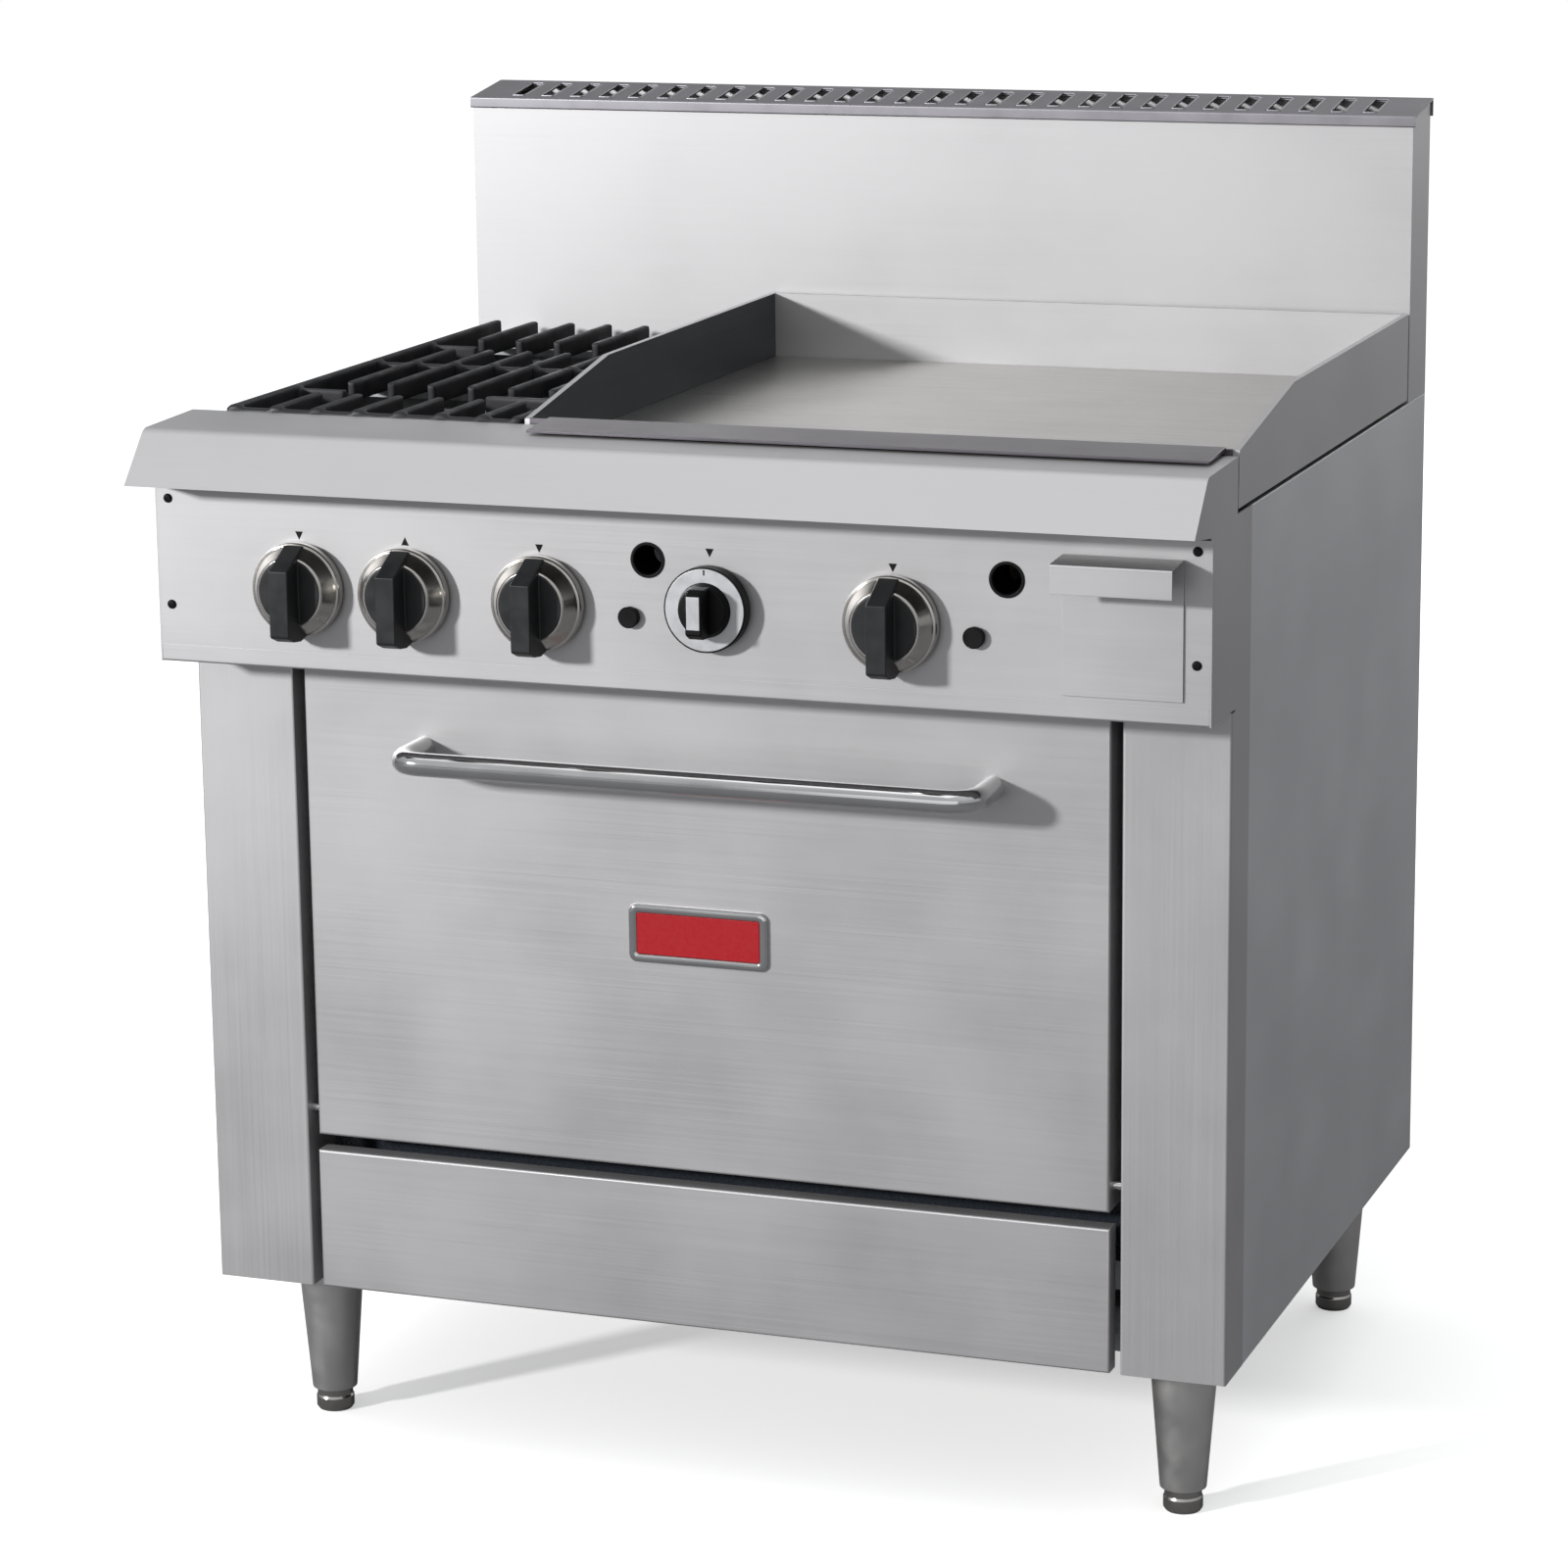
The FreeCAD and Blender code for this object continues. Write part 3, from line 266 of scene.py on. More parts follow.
def mouldedPlastic(name, low, high, roughness, grainSize=0.9, gloss=0.35):
    # moulded phenolic or nylon: fine spark texture from the tool
    material, tree, shader, place = startMaterial(name, high, 0.0, roughness)
    shader.inputs["Specular IOR Level"].default_value = gloss
    spark = addNode(tree, "ShaderNodeTexNoise", {"Scale": 1 / (grainSize * mm), "Detail": 2.0},
                    {"Vector": place})
    wear = addNode(tree, "ShaderNodeTexNoise", {"Scale": 1 / (14 * mm), "Detail": 3.0}, {"Vector": place})
    varyTone(tree, shader, wear.outputs["Fac"], low, high)
    varyRoughness(tree, shader, wear.outputs["Fac"], roughness - 0.06, roughness + 0.08)
    addBump(tree, shader, spark.outputs["Fac"], 0.2, 0.05 * mm)
    return material


def vitreousEnamel(name, low, high, roughness, speck=1.2):
    # fired enamel: glassy coat with fine specks and a slight orange peel
    material, tree, shader, place = startMaterial(name, high, 0.0, roughness)
    shader.inputs["Coat Weight"].default_value = 0.5
    shader.inputs["Coat Roughness"].default_value = 0.08
    specks = addNode(tree, "ShaderNodeTexVoronoi", {"Scale": 1 / (speck * 2 * mm)}, {"Vector": place})
    peel = addNode(tree, "ShaderNodeTexNoise", {"Scale": 1 / (4 * mm), "Detail": 2.0}, {"Vector": place})
    varyTone(tree, shader, specks.outputs["Distance"], low, high)
    varyRoughness(tree, shader, peel.outputs["Fac"], roughness, roughness + 0.08)
    addBump(tree, shader, peel.outputs["Fac"], 0.12, 0.08 * mm)
    return material


def fibre(name, low, high, strand):
    # spun mineral or glass fibre: matt, tangled strands
    material, tree, shader, place = startMaterial(name, high, 0.0, 0.95)
    tangle = addNode(tree, "ShaderNodeTexNoise",
                     {"Scale": 1 / (strand * mm), "Detail": 5.0, "Distortion": 1.5}, {"Vector": place})
    varyTone(tree, shader, tangle.outputs["Fac"], low, high)
    addBump(tree, shader, tangle.outputs["Fac"], 0.7, 0.6 * mm)
    return material


finishes = {
    "sheetX": brushedSheet("brushedStainlessAcross", 0),
    "sheetY": brushedSheet("brushedStainlessDeep", 1),
    # painted light: the side panels are the same stainless as the front, drawn lighter to make up for the
    # shade the sides stand in
    "sideSheetPaintedLight": brushedSheet("brushedStainlessSidePaintedLight", 1, "#c3c4c6", "#cfd0d2"),
    "sheetZ": brushedSheet("brushedStainlessUpright", 2),
    "plate": groundPlate("groundGriddlePlate"),
    # painted shade: a near-black copy of the brushed steel for the left griddle wall's inner face, standing
    # in for the shaded wall it reflects
    "splashPaintedShade": brushedSheet("splashSteelPaintedShade", 1, "#33383b", "#43484b", 0.3, 0.42, 0.9),
    "troughSteel": brushedSheet("greasyTroughSteel", 0, "#5f5c62", "#747176", 0.28, 0.38, 0.95),
    "darkFlue": platedMetal("heatDarkenedFlueSteel", "#7f7e82", "#918f94", 0.38, 0.5, 40),
    "iron": castIron("seasonedCastIron"),
    "polished": platedMetal("polishedStainless", "#c6c6c6", "#dadada", 0.09, 0.14, 60),
    "turned": platedMetal("turnedStainless", "#b3b0ab", "#c9c6c1", 0.16, 0.24, 25),
    "satin": platedMetal("satinDialFace", "#b2b3b5", "#c0c1c3", 0.4, 0.5, 12),
    "legSteel": platedMetal("spunLegStainless", "#dddbd8", "#eae8e5", 0.3, 0.4, 25),
    "charcoal": mouldedPlastic("charcoalPhenolic", "#1c1d1f", "#272829", 0.36),
    "black": mouldedPlastic("blackNylon", "#060607", "#0c0c0d", 0.42, gloss=0.18),
    "ink": mouldedPlastic("blackScreenInk", "#08080a", "#101011", 0.6, gloss=0.18),
    "redEnamel": vitreousEnamel("redBadgeEnamel", "#a30f18", "#a8111a", 0.25),
    "zinc": spangledZinc("galvanisedSheet"),
    "aluminised": platedMetal("aluminisedSteel", "#8f9092", "#a6a7a8", 0.4, 0.52, 12),
    "enamel": vitreousEnamel("speckledOvenEnamel", "#1f2329", "#2c3138", 0.22),
    "brass": platedMetal("valveBrass", "#a3823f", "#bb9a55", 0.28, 0.4, 8),
    "pipe": mouldedPlastic("blackPaintedPipe", "#101011", "#1b1b1c", 0.5, 2.0),
    "chrome": platedMetal("chromedWire", "#c9cacb", "#dcdddd", 0.12, 0.2, 30),
    "wool": fibre("mineralWool", "#a89a6b", "#cdbf91", 5),
    "rope": fibre("glassRope", "#3a3a3a", "#5a5a58", 2.5),
}
print("finishes ready:", len(finishes))


def inMetres(sizes):
    return {name: value * mm for name, value in sizes.items()}


def linkMesh(name, bm):
    bmesh.ops.recalc_face_normals(bm, faces=bm.faces)
    mesh = bpy.data.meshes.new(name)
    bm.to_mesh(mesh)
    bm.free()
    piece = bpy.data.objects.new(name, mesh)
    bpy.context.scene.collection.objects.link(piece)
    return piece


def bakeModifiers(piece):
    graph = bpy.context.evaluated_depsgraph_get()
    mesh = bpy.data.meshes.new_from_object(piece.evaluated_get(graph), depsgraph=graph)
    piece.modifiers.clear()
    piece.data = mesh


def finishPiece(piece, body, material, replaced=(), smoothAngle=32):
    if material is not None:
        piece.data.materials.clear()
        piece.data.materials.append(material)
    piece.data.shade_smooth()
    piece.data.set_sharp_from_angle(angle=math.radians(smoothAngle))
    even = piece.modifiers.new("flatFacesStayFlat", "WEIGHTED_NORMAL")
    even.mode, even.weight, even.keep_sharp = "FACE_AREA", 90, True
    bakeModifiers(piece)
    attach(piece, body)
    if replaced:
        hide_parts(*replaced)
    return piece


def cleanCopy(node):
    bm = bmesh.new()
    bm.from_mesh(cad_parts[node].data)
    bmesh.ops.remove_doubles(bm, verts=bm.verts, dist=0.01 * mm)
    bmesh.ops.dissolve_limit(bm, angle_limit=math.radians(0.5), verts=bm.verts, edges=bm.edges)
    return bm


def bevelWhere(bm, chosen, radius, steps=4):
    # rounds the edges for which chosen(middle, direction, length) is true
    edges = []
    for edge in bm.edges:
        if len(edge.link_faces) != 2 or edge.calc_face_angle(0) < math.radians(12):
            continue
        a, b = edge.verts[0].co, edge.verts[1].co
        if chosen((a + b) / 2, (b - a).normalized(), (b - a).length):
            edges.append(edge)
    if edges:
        bmesh.ops.bevel(bm, geom=edges, offset=radius, offset_type="OFFSET", segments=steps, profile=0.5,
                        affect="EDGES", clamp_overlap=True)


def softEdges(piece, width, steps=2):
    bevel = piece.modifiers.new("edgeBreak", "BEVEL")
    bevel.width, bevel.segments, bevel.limit_method = width, steps, "ANGLE"
    bevel.angle_limit = math.radians(28)
    bakeModifiers(piece)


def roundedPath(points, steps=6):
    # corners given as (a, b, radius) become arcs; radius 0 stays sharp
    out = []
    count = len(points)
    for i, (a, b, radius) in enumerate(points):
        here = Vector((a, b))
        if radius <= 0 or i in (0, count - 1):
            out.append(here)
            continue
        toBack = Vector(points[i - 1][:2]) - here
        toNext = Vector(points[i + 1][:2]) - here
        turn = toBack.angle(toNext)
        reach = min(radius / math.tan(turn / 2), toBack.length * 0.49, toNext.length * 0.49)
        start, end = here + toBack.normalized() * reach, here + toNext.normalized() * reach
        for k in range(steps + 1):
            t = k / steps
            out.append(start * (1 - t) ** 2 + here * 2 * t * (1 - t) + end * t ** 2)
    return out


def latheMesh(name, profile, centre, axis, segments=72, ring=False):
    # profile in (radius, distance along axis); ring=True closes the outline on itself
    bm = bmesh.new()
    turn = Vector((0, 0, 1)).rotation_difference(Vector(axis)).to_matrix()
    centre = Vector(centre)
    rows = []
    for radius, along in profile:
        if radius < 1e-7:
            rows.append([bm.verts.new(centre + turn @ Vector((0, 0, along)))])
            continue
        row = []
        for k in range(segments):
            angle = 2 * math.pi * k / segments
            spot = Vector((radius * math.cos(angle), radius * math.sin(angle), along))
            row.append(bm.verts.new(centre + turn @ spot))
        rows.append(row)
    pairs = list(zip(rows, rows[1:])) + ([(rows[-1], rows[0])] if ring else [])
    for low, high in pairs:
        for k in range(segments):
            n = (k + 1) % segments
            corners = [low[k % len(low)], low[n % len(low)], high[n % len(high)], high[k % len(high)]]
            unique = list(dict.fromkeys(corners))
            if len(unique) > 2:
                bm.faces.new(unique)
    return linkMesh(name, bm)


def slabMesh(name, outline, place, depth, edge=0.0, steps=3):
    # outline of 2D points set into space by place(a, b, d), drawn out from d = 0 to depth
    bm = bmesh.new()
    near = [bm.verts.new(place(a, b, 0)) for a, b in outline]
    far = [bm.verts.new(place(a, b, depth)) for a, b in outline]
    bm.faces.new(near)
    bm.faces.new(far[::-1])
    count = len(outline)
    for k in range(count):
        n = (k + 1) % count
        bm.faces.new([near[n], near[k], far[k], far[n]])
    piece = linkMesh(name, bm)
    if edge > 0:
        softEdges(piece, edge, steps)
    return piece


def joined(name, pieces):
    # several meshes as one, each keeping its own material
    first = pieces[0]
    with bpy.context.temp_override(active_object=first, selected_editable_objects=pieces):
        bpy.ops.object.join()
    first.name = name
    return first


# folded sheet pieces: the design's shape with real bend radii and broken edges
bends = {"pillar": 2.2, "kick": 2.0, "door": 2.4, "boxLip": 2.0, "nose": 5.0, "backguard": 2.0,
         "drawerPull": 2.2, "flueCap": 1.4}
brokenEdges = {"sheet": 0.35, "plate": 0.8, "splash": 0.8, "trough": 0.5, "tray": 0.25, "flueCap": 0.3}


def nearly(a, b, slack=0.6 * mm):
    return abs(a - b) < slack


def foldedPiece(node, name, body, material, bend=None, radius=0.0, edge=brokenEdges["sheet"]):
    # bend picks the edges that are folded to the given radius; all other edges are only broken
    bm = cleanCopy(node)
    low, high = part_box(node)
    if bend:
        bevelWhere(bm, lambda middle, along, length: bend(middle, along, length, low, high), radius * mm)
    piece = linkMesh(name, bm)
    softEdges(piece, edge * mm)
    return finishPiece(piece, body, material, (node,))


def frontRim(middle, along, length, low, high):
    return length > 0.05 and nearly(middle.y, low.y)


def frontUpright(middle, along, length, low, high):
    return length > 0.3 and abs(along.z) > 0.99 and nearly(middle.y, low.y)


def lowerFrontFold(middle, along, length, low, high):
    return length > 0.5 and nearly(middle.y, low.y) and nearly(middle.z, low.z)


def noseFold(middle, along, length, low, high):
    across = length > 0.5 and abs(along.x) > 0.99
    return across and middle.z > high.z - 6 * mm and middle.y < high.y - 60 * mm


def pullFold(middle, along, length, low, high):
    return length > 0.05 and abs(along.x) > 0.99 and middle.z > high.z - 14 * mm


def capFold(middle, along, length, low, high):
    across = length > 0.5 and abs(along.x) > 0.99
    return across and (nearly(middle.y, low.y) or nearly(middle.y, high.y))


def sheetPieces():
    for side in ("left", "right"):
        # the side panels take the lightened steel, painted light for their shade
        foldedPiece("side_panel_" + side, side + "SidePanel", "cabinet", finishes["sideSheetPaintedLight"])
        foldedPiece("front_pillar_" + side, side + "FrontPillar", "cabinet", finishes["sheetZ"],
                    frontUpright, bends["pillar"])
    foldedPiece("kick_panel", "kickPanel", "kick_panel", finishes["sheetX"], frontRim, bends["kick"])
    foldedPiece("door_skin", "doorOuterPan", "door", finishes["sheetX"], frontRim, bends["door"])
    foldedPiece("control_panel", "controlPanel", "cabinet", finishes["sheetX"])
    foldedPiece("control_box", "controlBoxLip", "cabinet", finishes["sheetX"],
                lowerFrontFold, bends["boxLip"])
    foldedPiece("bull_nose", "bullNose", "cabinet", finishes["sheetX"], noseFold, bends["nose"])
    foldedPiece("backguard", "backguard", "cabinet", finishes["sheetX"],
                frontUpright, bends["backguard"])
    foldedPiece("back_panel", "backPanel", "cabinet", finishes["zinc"])
    foldedPiece("drawer_front", "drawerFront", "grease_drawer", finishes["sheetX"],
                pullFold, bends["drawerPull"])
    foldedPiece("grease_drawer", "greaseTray", "grease_drawer", finishes["sheetY"])
    foldedPiece("griddle_plate", "griddlePlate", "cabinet", finishes["plate"],
                edge=brokenEdges["plate"])
    foldedPiece("spill_tray", "spillTray", "cabinet", finishes["aluminised"],
                edge=brokenEdges["tray"])


sheetPieces()
print("sheet pieces ready")


# griddle walls and trough
def griddlePieces():
    splash = foldedPiece("griddle_splash", "griddleSplash", "cabinet", finishes["sheetY"],
                         edge=brokenEdges["splash"])
    # second slot holds the near-black steel, painted shade for the left wall's inner face
    splash.data.materials.append(finishes["splashPaintedShade"])
    splash.data.materials.append(finishes["sheetX"])
    low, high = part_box("griddle_splash")
    for face in splash.data.polygons:
        middle, normal = face.center, face.normal
        inside = low.x + 4 * mm < middle.x < high.x - 4 * mm and middle.y < high.y - 4 * mm
        if inside and normal.x > 0.9:
            face.material_index = 1  # painted shade: the left wall's inner face is coloured near-black for the shaded wall it reflects
        elif abs(normal.y) > 0.9:
            face.material_index = 2
    foldedPiece("griddle_trough", "greaseTrough", "cabinet", finishes["troughSteel"],
                edge=brokenEdges["trough"])


griddlePieces()


# flue cap: pressed slots with rolled lips
flue = {"slots": 29, "pitch": 29.6, "slotWidth": 13.0, "endMargin": 12.0, "lip": 0.9, "fall": 10.7}


def nodeTree(name, inputs):
    tree = bpy.data.node_groups.new(name, "GeometryNodeTree")
    tree.interface.new_socket("Geometry", in_out="INPUT", socket_type="NodeSocketGeometry")
    for label, kind in inputs.items():
        tree.interface.new_socket(label, in_out="INPUT", socket_type=kind)
    tree.interface.new_socket("Geometry", in_out="OUTPUT", socket_type="NodeSocketGeometry")
    return tree, tree.nodes.new("NodeGroupInput"), tree.nodes.new("NodeGroupOutput")


def runTree(name, tree, values, source=None):
    mesh = source or bpy.data.meshes.new(name)
    piece = bpy.data.objects.new(name, mesh)
    bpy.context.scene.collection.objects.link(piece)
    modifier = piece.modifiers.new("pattern", "NODES")
    modifier.node_group = tree
    for item in tree.interface.items_tree:
        if item.in_out == "INPUT" and item.name in values:
            modifier[item.identifier] = values[item.name]
    bakeModifiers(piece)
    return piece


def lipTree():
    inputs = {"Count": "NodeSocketInt", "Pitch": "NodeSocketFloat", "Slot Width": "NodeSocketFloat",
              "Slot Length": "NodeSocketFloat", "Lip": "NodeSocketFloat", "Slope": "NodeSocketFloat",
              "Centre": "NodeSocketVector", "Finish": "NodeSocketMaterial"}
    tree, given, result = nodeTree("pressedLips", inputs)
    spread = addNode(tree, "ShaderNodeCombineXYZ", {}, {"X": given.outputs["Pitch"]})
    less = addNode(tree, "ShaderNodeMath", {"operation": "SUBTRACT", 1: 1.0}, {0: given.outputs["Count"]})
    half = addNode(tree, "ShaderNodeMath", {"operation": "MULTIPLY", 1: -0.5}, {0: less.outputs[0]})
    back = addNode(tree, "ShaderNodeVectorMath", {"operation": "SCALE"},
                   {0: spread.outputs[0], "Scale": half.outputs[0]})
    start = addNode(tree, "ShaderNodeVectorMath", {"operation": "ADD"},
                    {0: back.outputs[0], 1: given.outputs["Centre"]})
    row = addNode(tree, "GeometryNodeMeshLine", {},
                  {"Count": given.outputs["Count"], "Start Location": start.outputs[0],
                   "Offset": spread.outputs[0]})
    outline = addNode(tree, "GeometryNodeCurvePrimitiveQuadrilateral", {},
                      {"Width": given.outputs["Slot Width"], "Height": given.outputs["Slot Length"]})
    corner = addNode(tree, "GeometryNodeFilletCurve", {"mode": "POLY", "Count": 3, "Radius": 2.0 * mm},
                     {"Curve": outline.outputs[0]})
    bead = addNode(tree, "GeometryNodeCurvePrimitiveCircle", {"Resolution": 8},
                   {"Radius": given.outputs["Lip"]})
    rolled = addNode(tree, "GeometryNodeCurveToMesh", {},
                     {"Curve": corner.outputs[0], "Profile Curve": bead.outputs[0]})
    tilt = addNode(tree, "ShaderNodeCombineXYZ", {}, {"X": given.outputs["Slope"]})
    each = addNode(tree, "GeometryNodeInstanceOnPoints", {},
                   {"Points": row.outputs[0], "Instance": rolled.outputs[0], "Rotation": tilt.outputs[0]})
    real = addNode(tree, "GeometryNodeRealizeInstances", {}, {"Geometry": each.outputs[0]})
    coat = addNode(tree, "GeometryNodeSetMaterial", {},
                   {"Geometry": real.outputs[0], "Material": given.outputs["Finish"]})
    tree.links.new(coat.outputs[0], result.inputs[0])
    return tree


def fluePieces():
    low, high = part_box("flue_cap")
    foldedPiece("flue_cap", "flueCap", "cabinet", finishes["darkFlue"],
                capFold, bends["flueCap"], brokenEdges["flueCap"])
    frontTop, rearTop = Vector((0, low.y, high.z - flue["fall"] * mm)), Vector((0, high.y, high.z))
    slope = math.atan2(rearTop.z - frontTop.z, rearTop.y - frontTop.y)
    run = high.y - low.y - 2 * flue["endMargin"] * mm
    middle = (frontTop + rearTop) / 2
    values = {"Count": flue["slots"], "Pitch": flue["pitch"] * mm, "Slot Width": flue["slotWidth"] * mm,
              "Slot Length": run / math.cos(slope), "Lip": flue["lip"] * mm, "Slope": slope,
              "Centre": middle, "Finish": finishes["darkFlue"]}
    lips = runTree("flueSlotLips", lipTree(), values)
    finishPiece(lips, "cabinet", None)


fluePieces()
print("flue ready")


# cast pieces
def castPiece(node, name, body, voxel=2.0, keep=0.45):
    # voxel skin and a light smooth give the soft corners and fillets of a sand casting
    piece = linkMesh(name, cleanCopy(node))
    remesh = piece.modifiers.new("casting", "REMESH")
    remesh.mode, remesh.voxel_size = "VOXEL", voxel * mm
    smooth = piece.modifiers.new("fettled", "SMOOTH")
    smooth.factor, smooth.iterations = 0.5, 3
    thin = piece.modifiers.new("thinned", "DECIMATE")
    thin.ratio = keep
    bakeModifiers(piece)
    return finishPiece(piece, body, finishes["iron"], (node,), 50)


castPiece("grate_front", "frontGrate", "grate_front")
castPiece("grate_rear", "rearGrate", "grate_rear")
castPiece("burner_front", "frontBurnerHead", "cabinet", 1.4)
castPiece("burner_rear", "rearBurnerHead", "cabinet", 1.4)
print("castings ready")


# control knobs
knob = {"skirtRadius": 40.0, "rimHeight": 8.5, "frontRadius": 30.0, "coneDepth": 21.0, "discRadius": 27.4,
        "discDepth": 21.6, "gripWidth": 17.2, "gripDepth": 42.0, "gripTop": 38.0, "faceTop": 21.3,
        "faceBottom": -34.5, "gripBottom": -41.0, "foot": 1.7, "standOff": 2.0}
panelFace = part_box("control_panel")[0].y


def valveKnob(place, body, skirtNode, gripNode):
    low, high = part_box(skirtNode)
    x, z = (low.x + high.x) / 2, (low.z + high.z) / 2
    base = (x, panelFace - knob["standOff"] * mm, z)
    size = inMetres(knob)
    rim, front, cone = size["skirtRadius"], size["frontRadius"], size["coneDepth"]
    disc, discDepth = size["discRadius"], size["discDepth"]
    # pressed skirt: a straight rim, a rolled shoulder, a shallow step, then a cone up to a bright ring
    outline = roundedPath([(rim - 3 * mm, 0, 0), (rim - 0.6 * mm, 0, 0.6 * mm),
                           (rim, size["rimHeight"] - 1 * mm, 0.8 * mm),
                           (rim - 0.9 * mm, size["rimHeight"] + 0.6 * mm, 0.7 * mm),
                           (rim - 2.6 * mm, size["rimHeight"] + 0.7 * mm, 0.5 * mm),
                           (rim - 3.6 * mm, size["rimHeight"] + 2.4 * mm, 1.2 * mm),
                           (front, cone - 0.8 * mm, 0.8 * mm), (front - 1.2 * mm, cone, 0.6 * mm),
                           (disc + 0.2 * mm, cone, 0.3 * mm), (disc - 1.2 * mm, cone - 1.5 * mm, 0)], 5)
    skirt = latheMesh(place + "Skirt", outline, base, (0, -1, 0), 96, ring=True)
    finishPiece(skirt, body, finishes["turned"], (skirtNode,), 28)
    face = roundedPath([(0, 1 * mm, 0), (rim - 8 * mm, 1 * mm, 0), (disc, cone - 2 * mm, 0),
                        (disc, discDepth, 0.7 * mm), (disc * 0.9, discDepth, 1 * mm),
                        (0, discDepth - 0.4 * mm, 0)], 5)
    plate = latheMesh(place + "Disc", face, base, (0, -1, 0), 96)
    # the grip starts at the skirt's top rim, climbs a ramp to its front face and ends past the skirt's foot
    depth, bottom = size["gripDepth"], size["gripBottom"]
    profile = [(2 * mm, size["gripTop"] - 1 * mm, 0), (size["rimHeight"] + 1 * mm, size["gripTop"], 1.5 * mm),
               (depth, size["faceTop"], 1.2 * mm), (depth, size["faceBottom"], 3 * mm),
               (depth - 12 * mm, bottom + 1.5 * mm, 4 * mm), (18 * mm, bottom, 1.5 * mm),
               (3 * mm, bottom + 3 * mm, 0)]
    shape = [(point.x, point.y) for point in roundedPath(profile, 4)]
    halfGrip = size["gripWidth"] / 2
    grip = slabMesh(place + "Grip", shape,
                    lambda out, up, t: Vector((x - halfGrip + t, base[1] - out, z + up)),
                    size["gripWidth"], 1.3 * mm, 4)
    # moulded fillet where the grip leaves the disc
    reach, flare = disc * 0.94, halfGrip + size["foot"]
    foot = [(-flare, -reach), (flare, -reach), (flare, reach), (-flare, reach)]
    fillet = slabMesh(place + "Foot", foot,
                      lambda a, b, t: Vector((x + a, base[1] - discDepth - t + 1 * mm, z + b)),
                      1 * mm + size["foot"] * 0.8, 1.2 * mm, 4)
    whole = joined(place + "Knob", [plate, grip, fillet])
    finishPiece(whole, body, finishes["charcoal"], (gripNode,), 30)


for kind in ("burner", "griddle"):
    for side in ("left", "right"):
        valveKnob(kind + side.capitalize(), f"{kind}_control_{side}", f"{kind}_skirt_{side}",
                  f"{kind}_knob_{side}")


# oven thermostat
dial = {"outer": 34.6, "inner": 22.6, "depth": 12.0, "outline": 0.5, "hub": 22.1, "hubDepth": 19.0,
        "tickLength": 4.5, "tickWidth": 1.2, "gripWidth": 14.0, "gripDepth": 38.0,
        "insertWidth": 11.2, "insertTop": 15.5, "insertBottom": -11.5}


def thermostatPieces():
    low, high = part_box("thermostat_dial")
    x, z = (low.x + high.x) / 2, (low.z + high.z) / 2
    base = (x, panelFace - knob["standOff"] * mm, z)
    size = inMetres(dial)
    inner, outer, depth = size["inner"], size["outer"], size["depth"]
    flat = [(inner, 0, 0), (outer - 0.2 * mm, 0, 0.6 * mm), (outer - 0.2 * mm, depth - 0.8 * mm, 0.4 * mm),
            (outer - 1 * mm, depth, 0.4 * mm), (inner, depth, 0.4 * mm)]
    ringPiece = latheMesh("thermostatDial", roundedPath(flat, 4), base, (0, -1, 0), 96, ring=True)
    finishPiece(ringPiece, "thermostat_control", finishes["satin"],
                ("thermostat_dial",), 30)
    # black moulding that the ring is set in shows as a thin outline
    rim = outer + size["outline"]
    edge = roundedPath([(outer - 0.5 * mm, 0.3 * mm, 0), (rim, 0.3 * mm, 0.2 * mm),
                        (rim, depth - 0.6 * mm, 0.3 * mm), (outer - 0.5 * mm, depth - 0.1 * mm, 0)], 3)
    band = latheMesh("thermostatDialBand", edge, base, (0, -1, 0), 96, ring=True)
    finishPiece(band, "thermostat_control", finishes["black"])
    half, top = size["tickWidth"] / 2, outer - 1.5 * mm
    mark = [(-half, top - size["tickLength"]), (half, top - size["tickLength"]), (half, top), (-half, top)]
    tick = slabMesh("dialMark", mark,
                    lambda a, b, t: Vector((x + a, base[1] - depth + 0.1 * mm - t, z + b)), 0.3 * mm)
    finishPiece(tick, "thermostat_control", finishes["ink"])
    hub = roundedPath([(0, 1 * mm, 0), (size["hub"], 1 * mm, 0), (size["hub"], depth + 1 * mm, 0.8 * mm),
                       (size["hub"] - 2 * mm, size["hubDepth"], 1.5 * mm),
                       (0, size["hubDepth"] + 0.6 * mm, 0)], 4)
    core = latheMesh("thermostatHub", hub, base, (0, -1, 0), 72)
    face = size["gripDepth"]
    profile = [(12 * mm, 20.5 * mm, 0), (30 * mm, 20 * mm, 3 * mm), (face, 16.5 * mm, 2.5 * mm),
               (face, -16 * mm, 2.5 * mm), (30 * mm, -20.5 * mm, 3 * mm), (12 * mm, -21 * mm, 0)]
    shape = [(point.x, point.y) for point in roundedPath(profile, 5)]
    halfGrip = size["gripWidth"] / 2
    grip = slabMesh("thermostatGrip", shape,
                    lambda out, up, t: Vector((x - halfGrip + t, base[1] - out, z + up)),
                    size["gripWidth"], 1.4 * mm, 4)
    whole = joined("thermostatKnob", [core, grip])
    finishPiece(whole, "thermostat_control", finishes["black"], ("thermostat_knob",), 30)
    wide, bottom, head = size["insertWidth"] / 2, size["insertBottom"], size["insertTop"]
    corners = [(-wide, bottom), (wide, bottom), (wide, head), (-wide, head)]
    insert = slabMesh("thermostatInsert", corners,
                      lambda a, b, t: Vector((x + a, base[1] - face + 0.4 * mm - t, z + b)),
                      0.7 * mm, 0.3 * mm, 2)
    finishPiece(insert, "thermostat_control", finishes["satin"])


thermostatPieces()
print("knobs ready")


# sight ports: black moulded grommets whose sleeve reaches back into the control box
port = {"radius": 14.8, "bore": 11.8, "sleeve": 12.8, "raise": 0.8, "reach": 45.0}


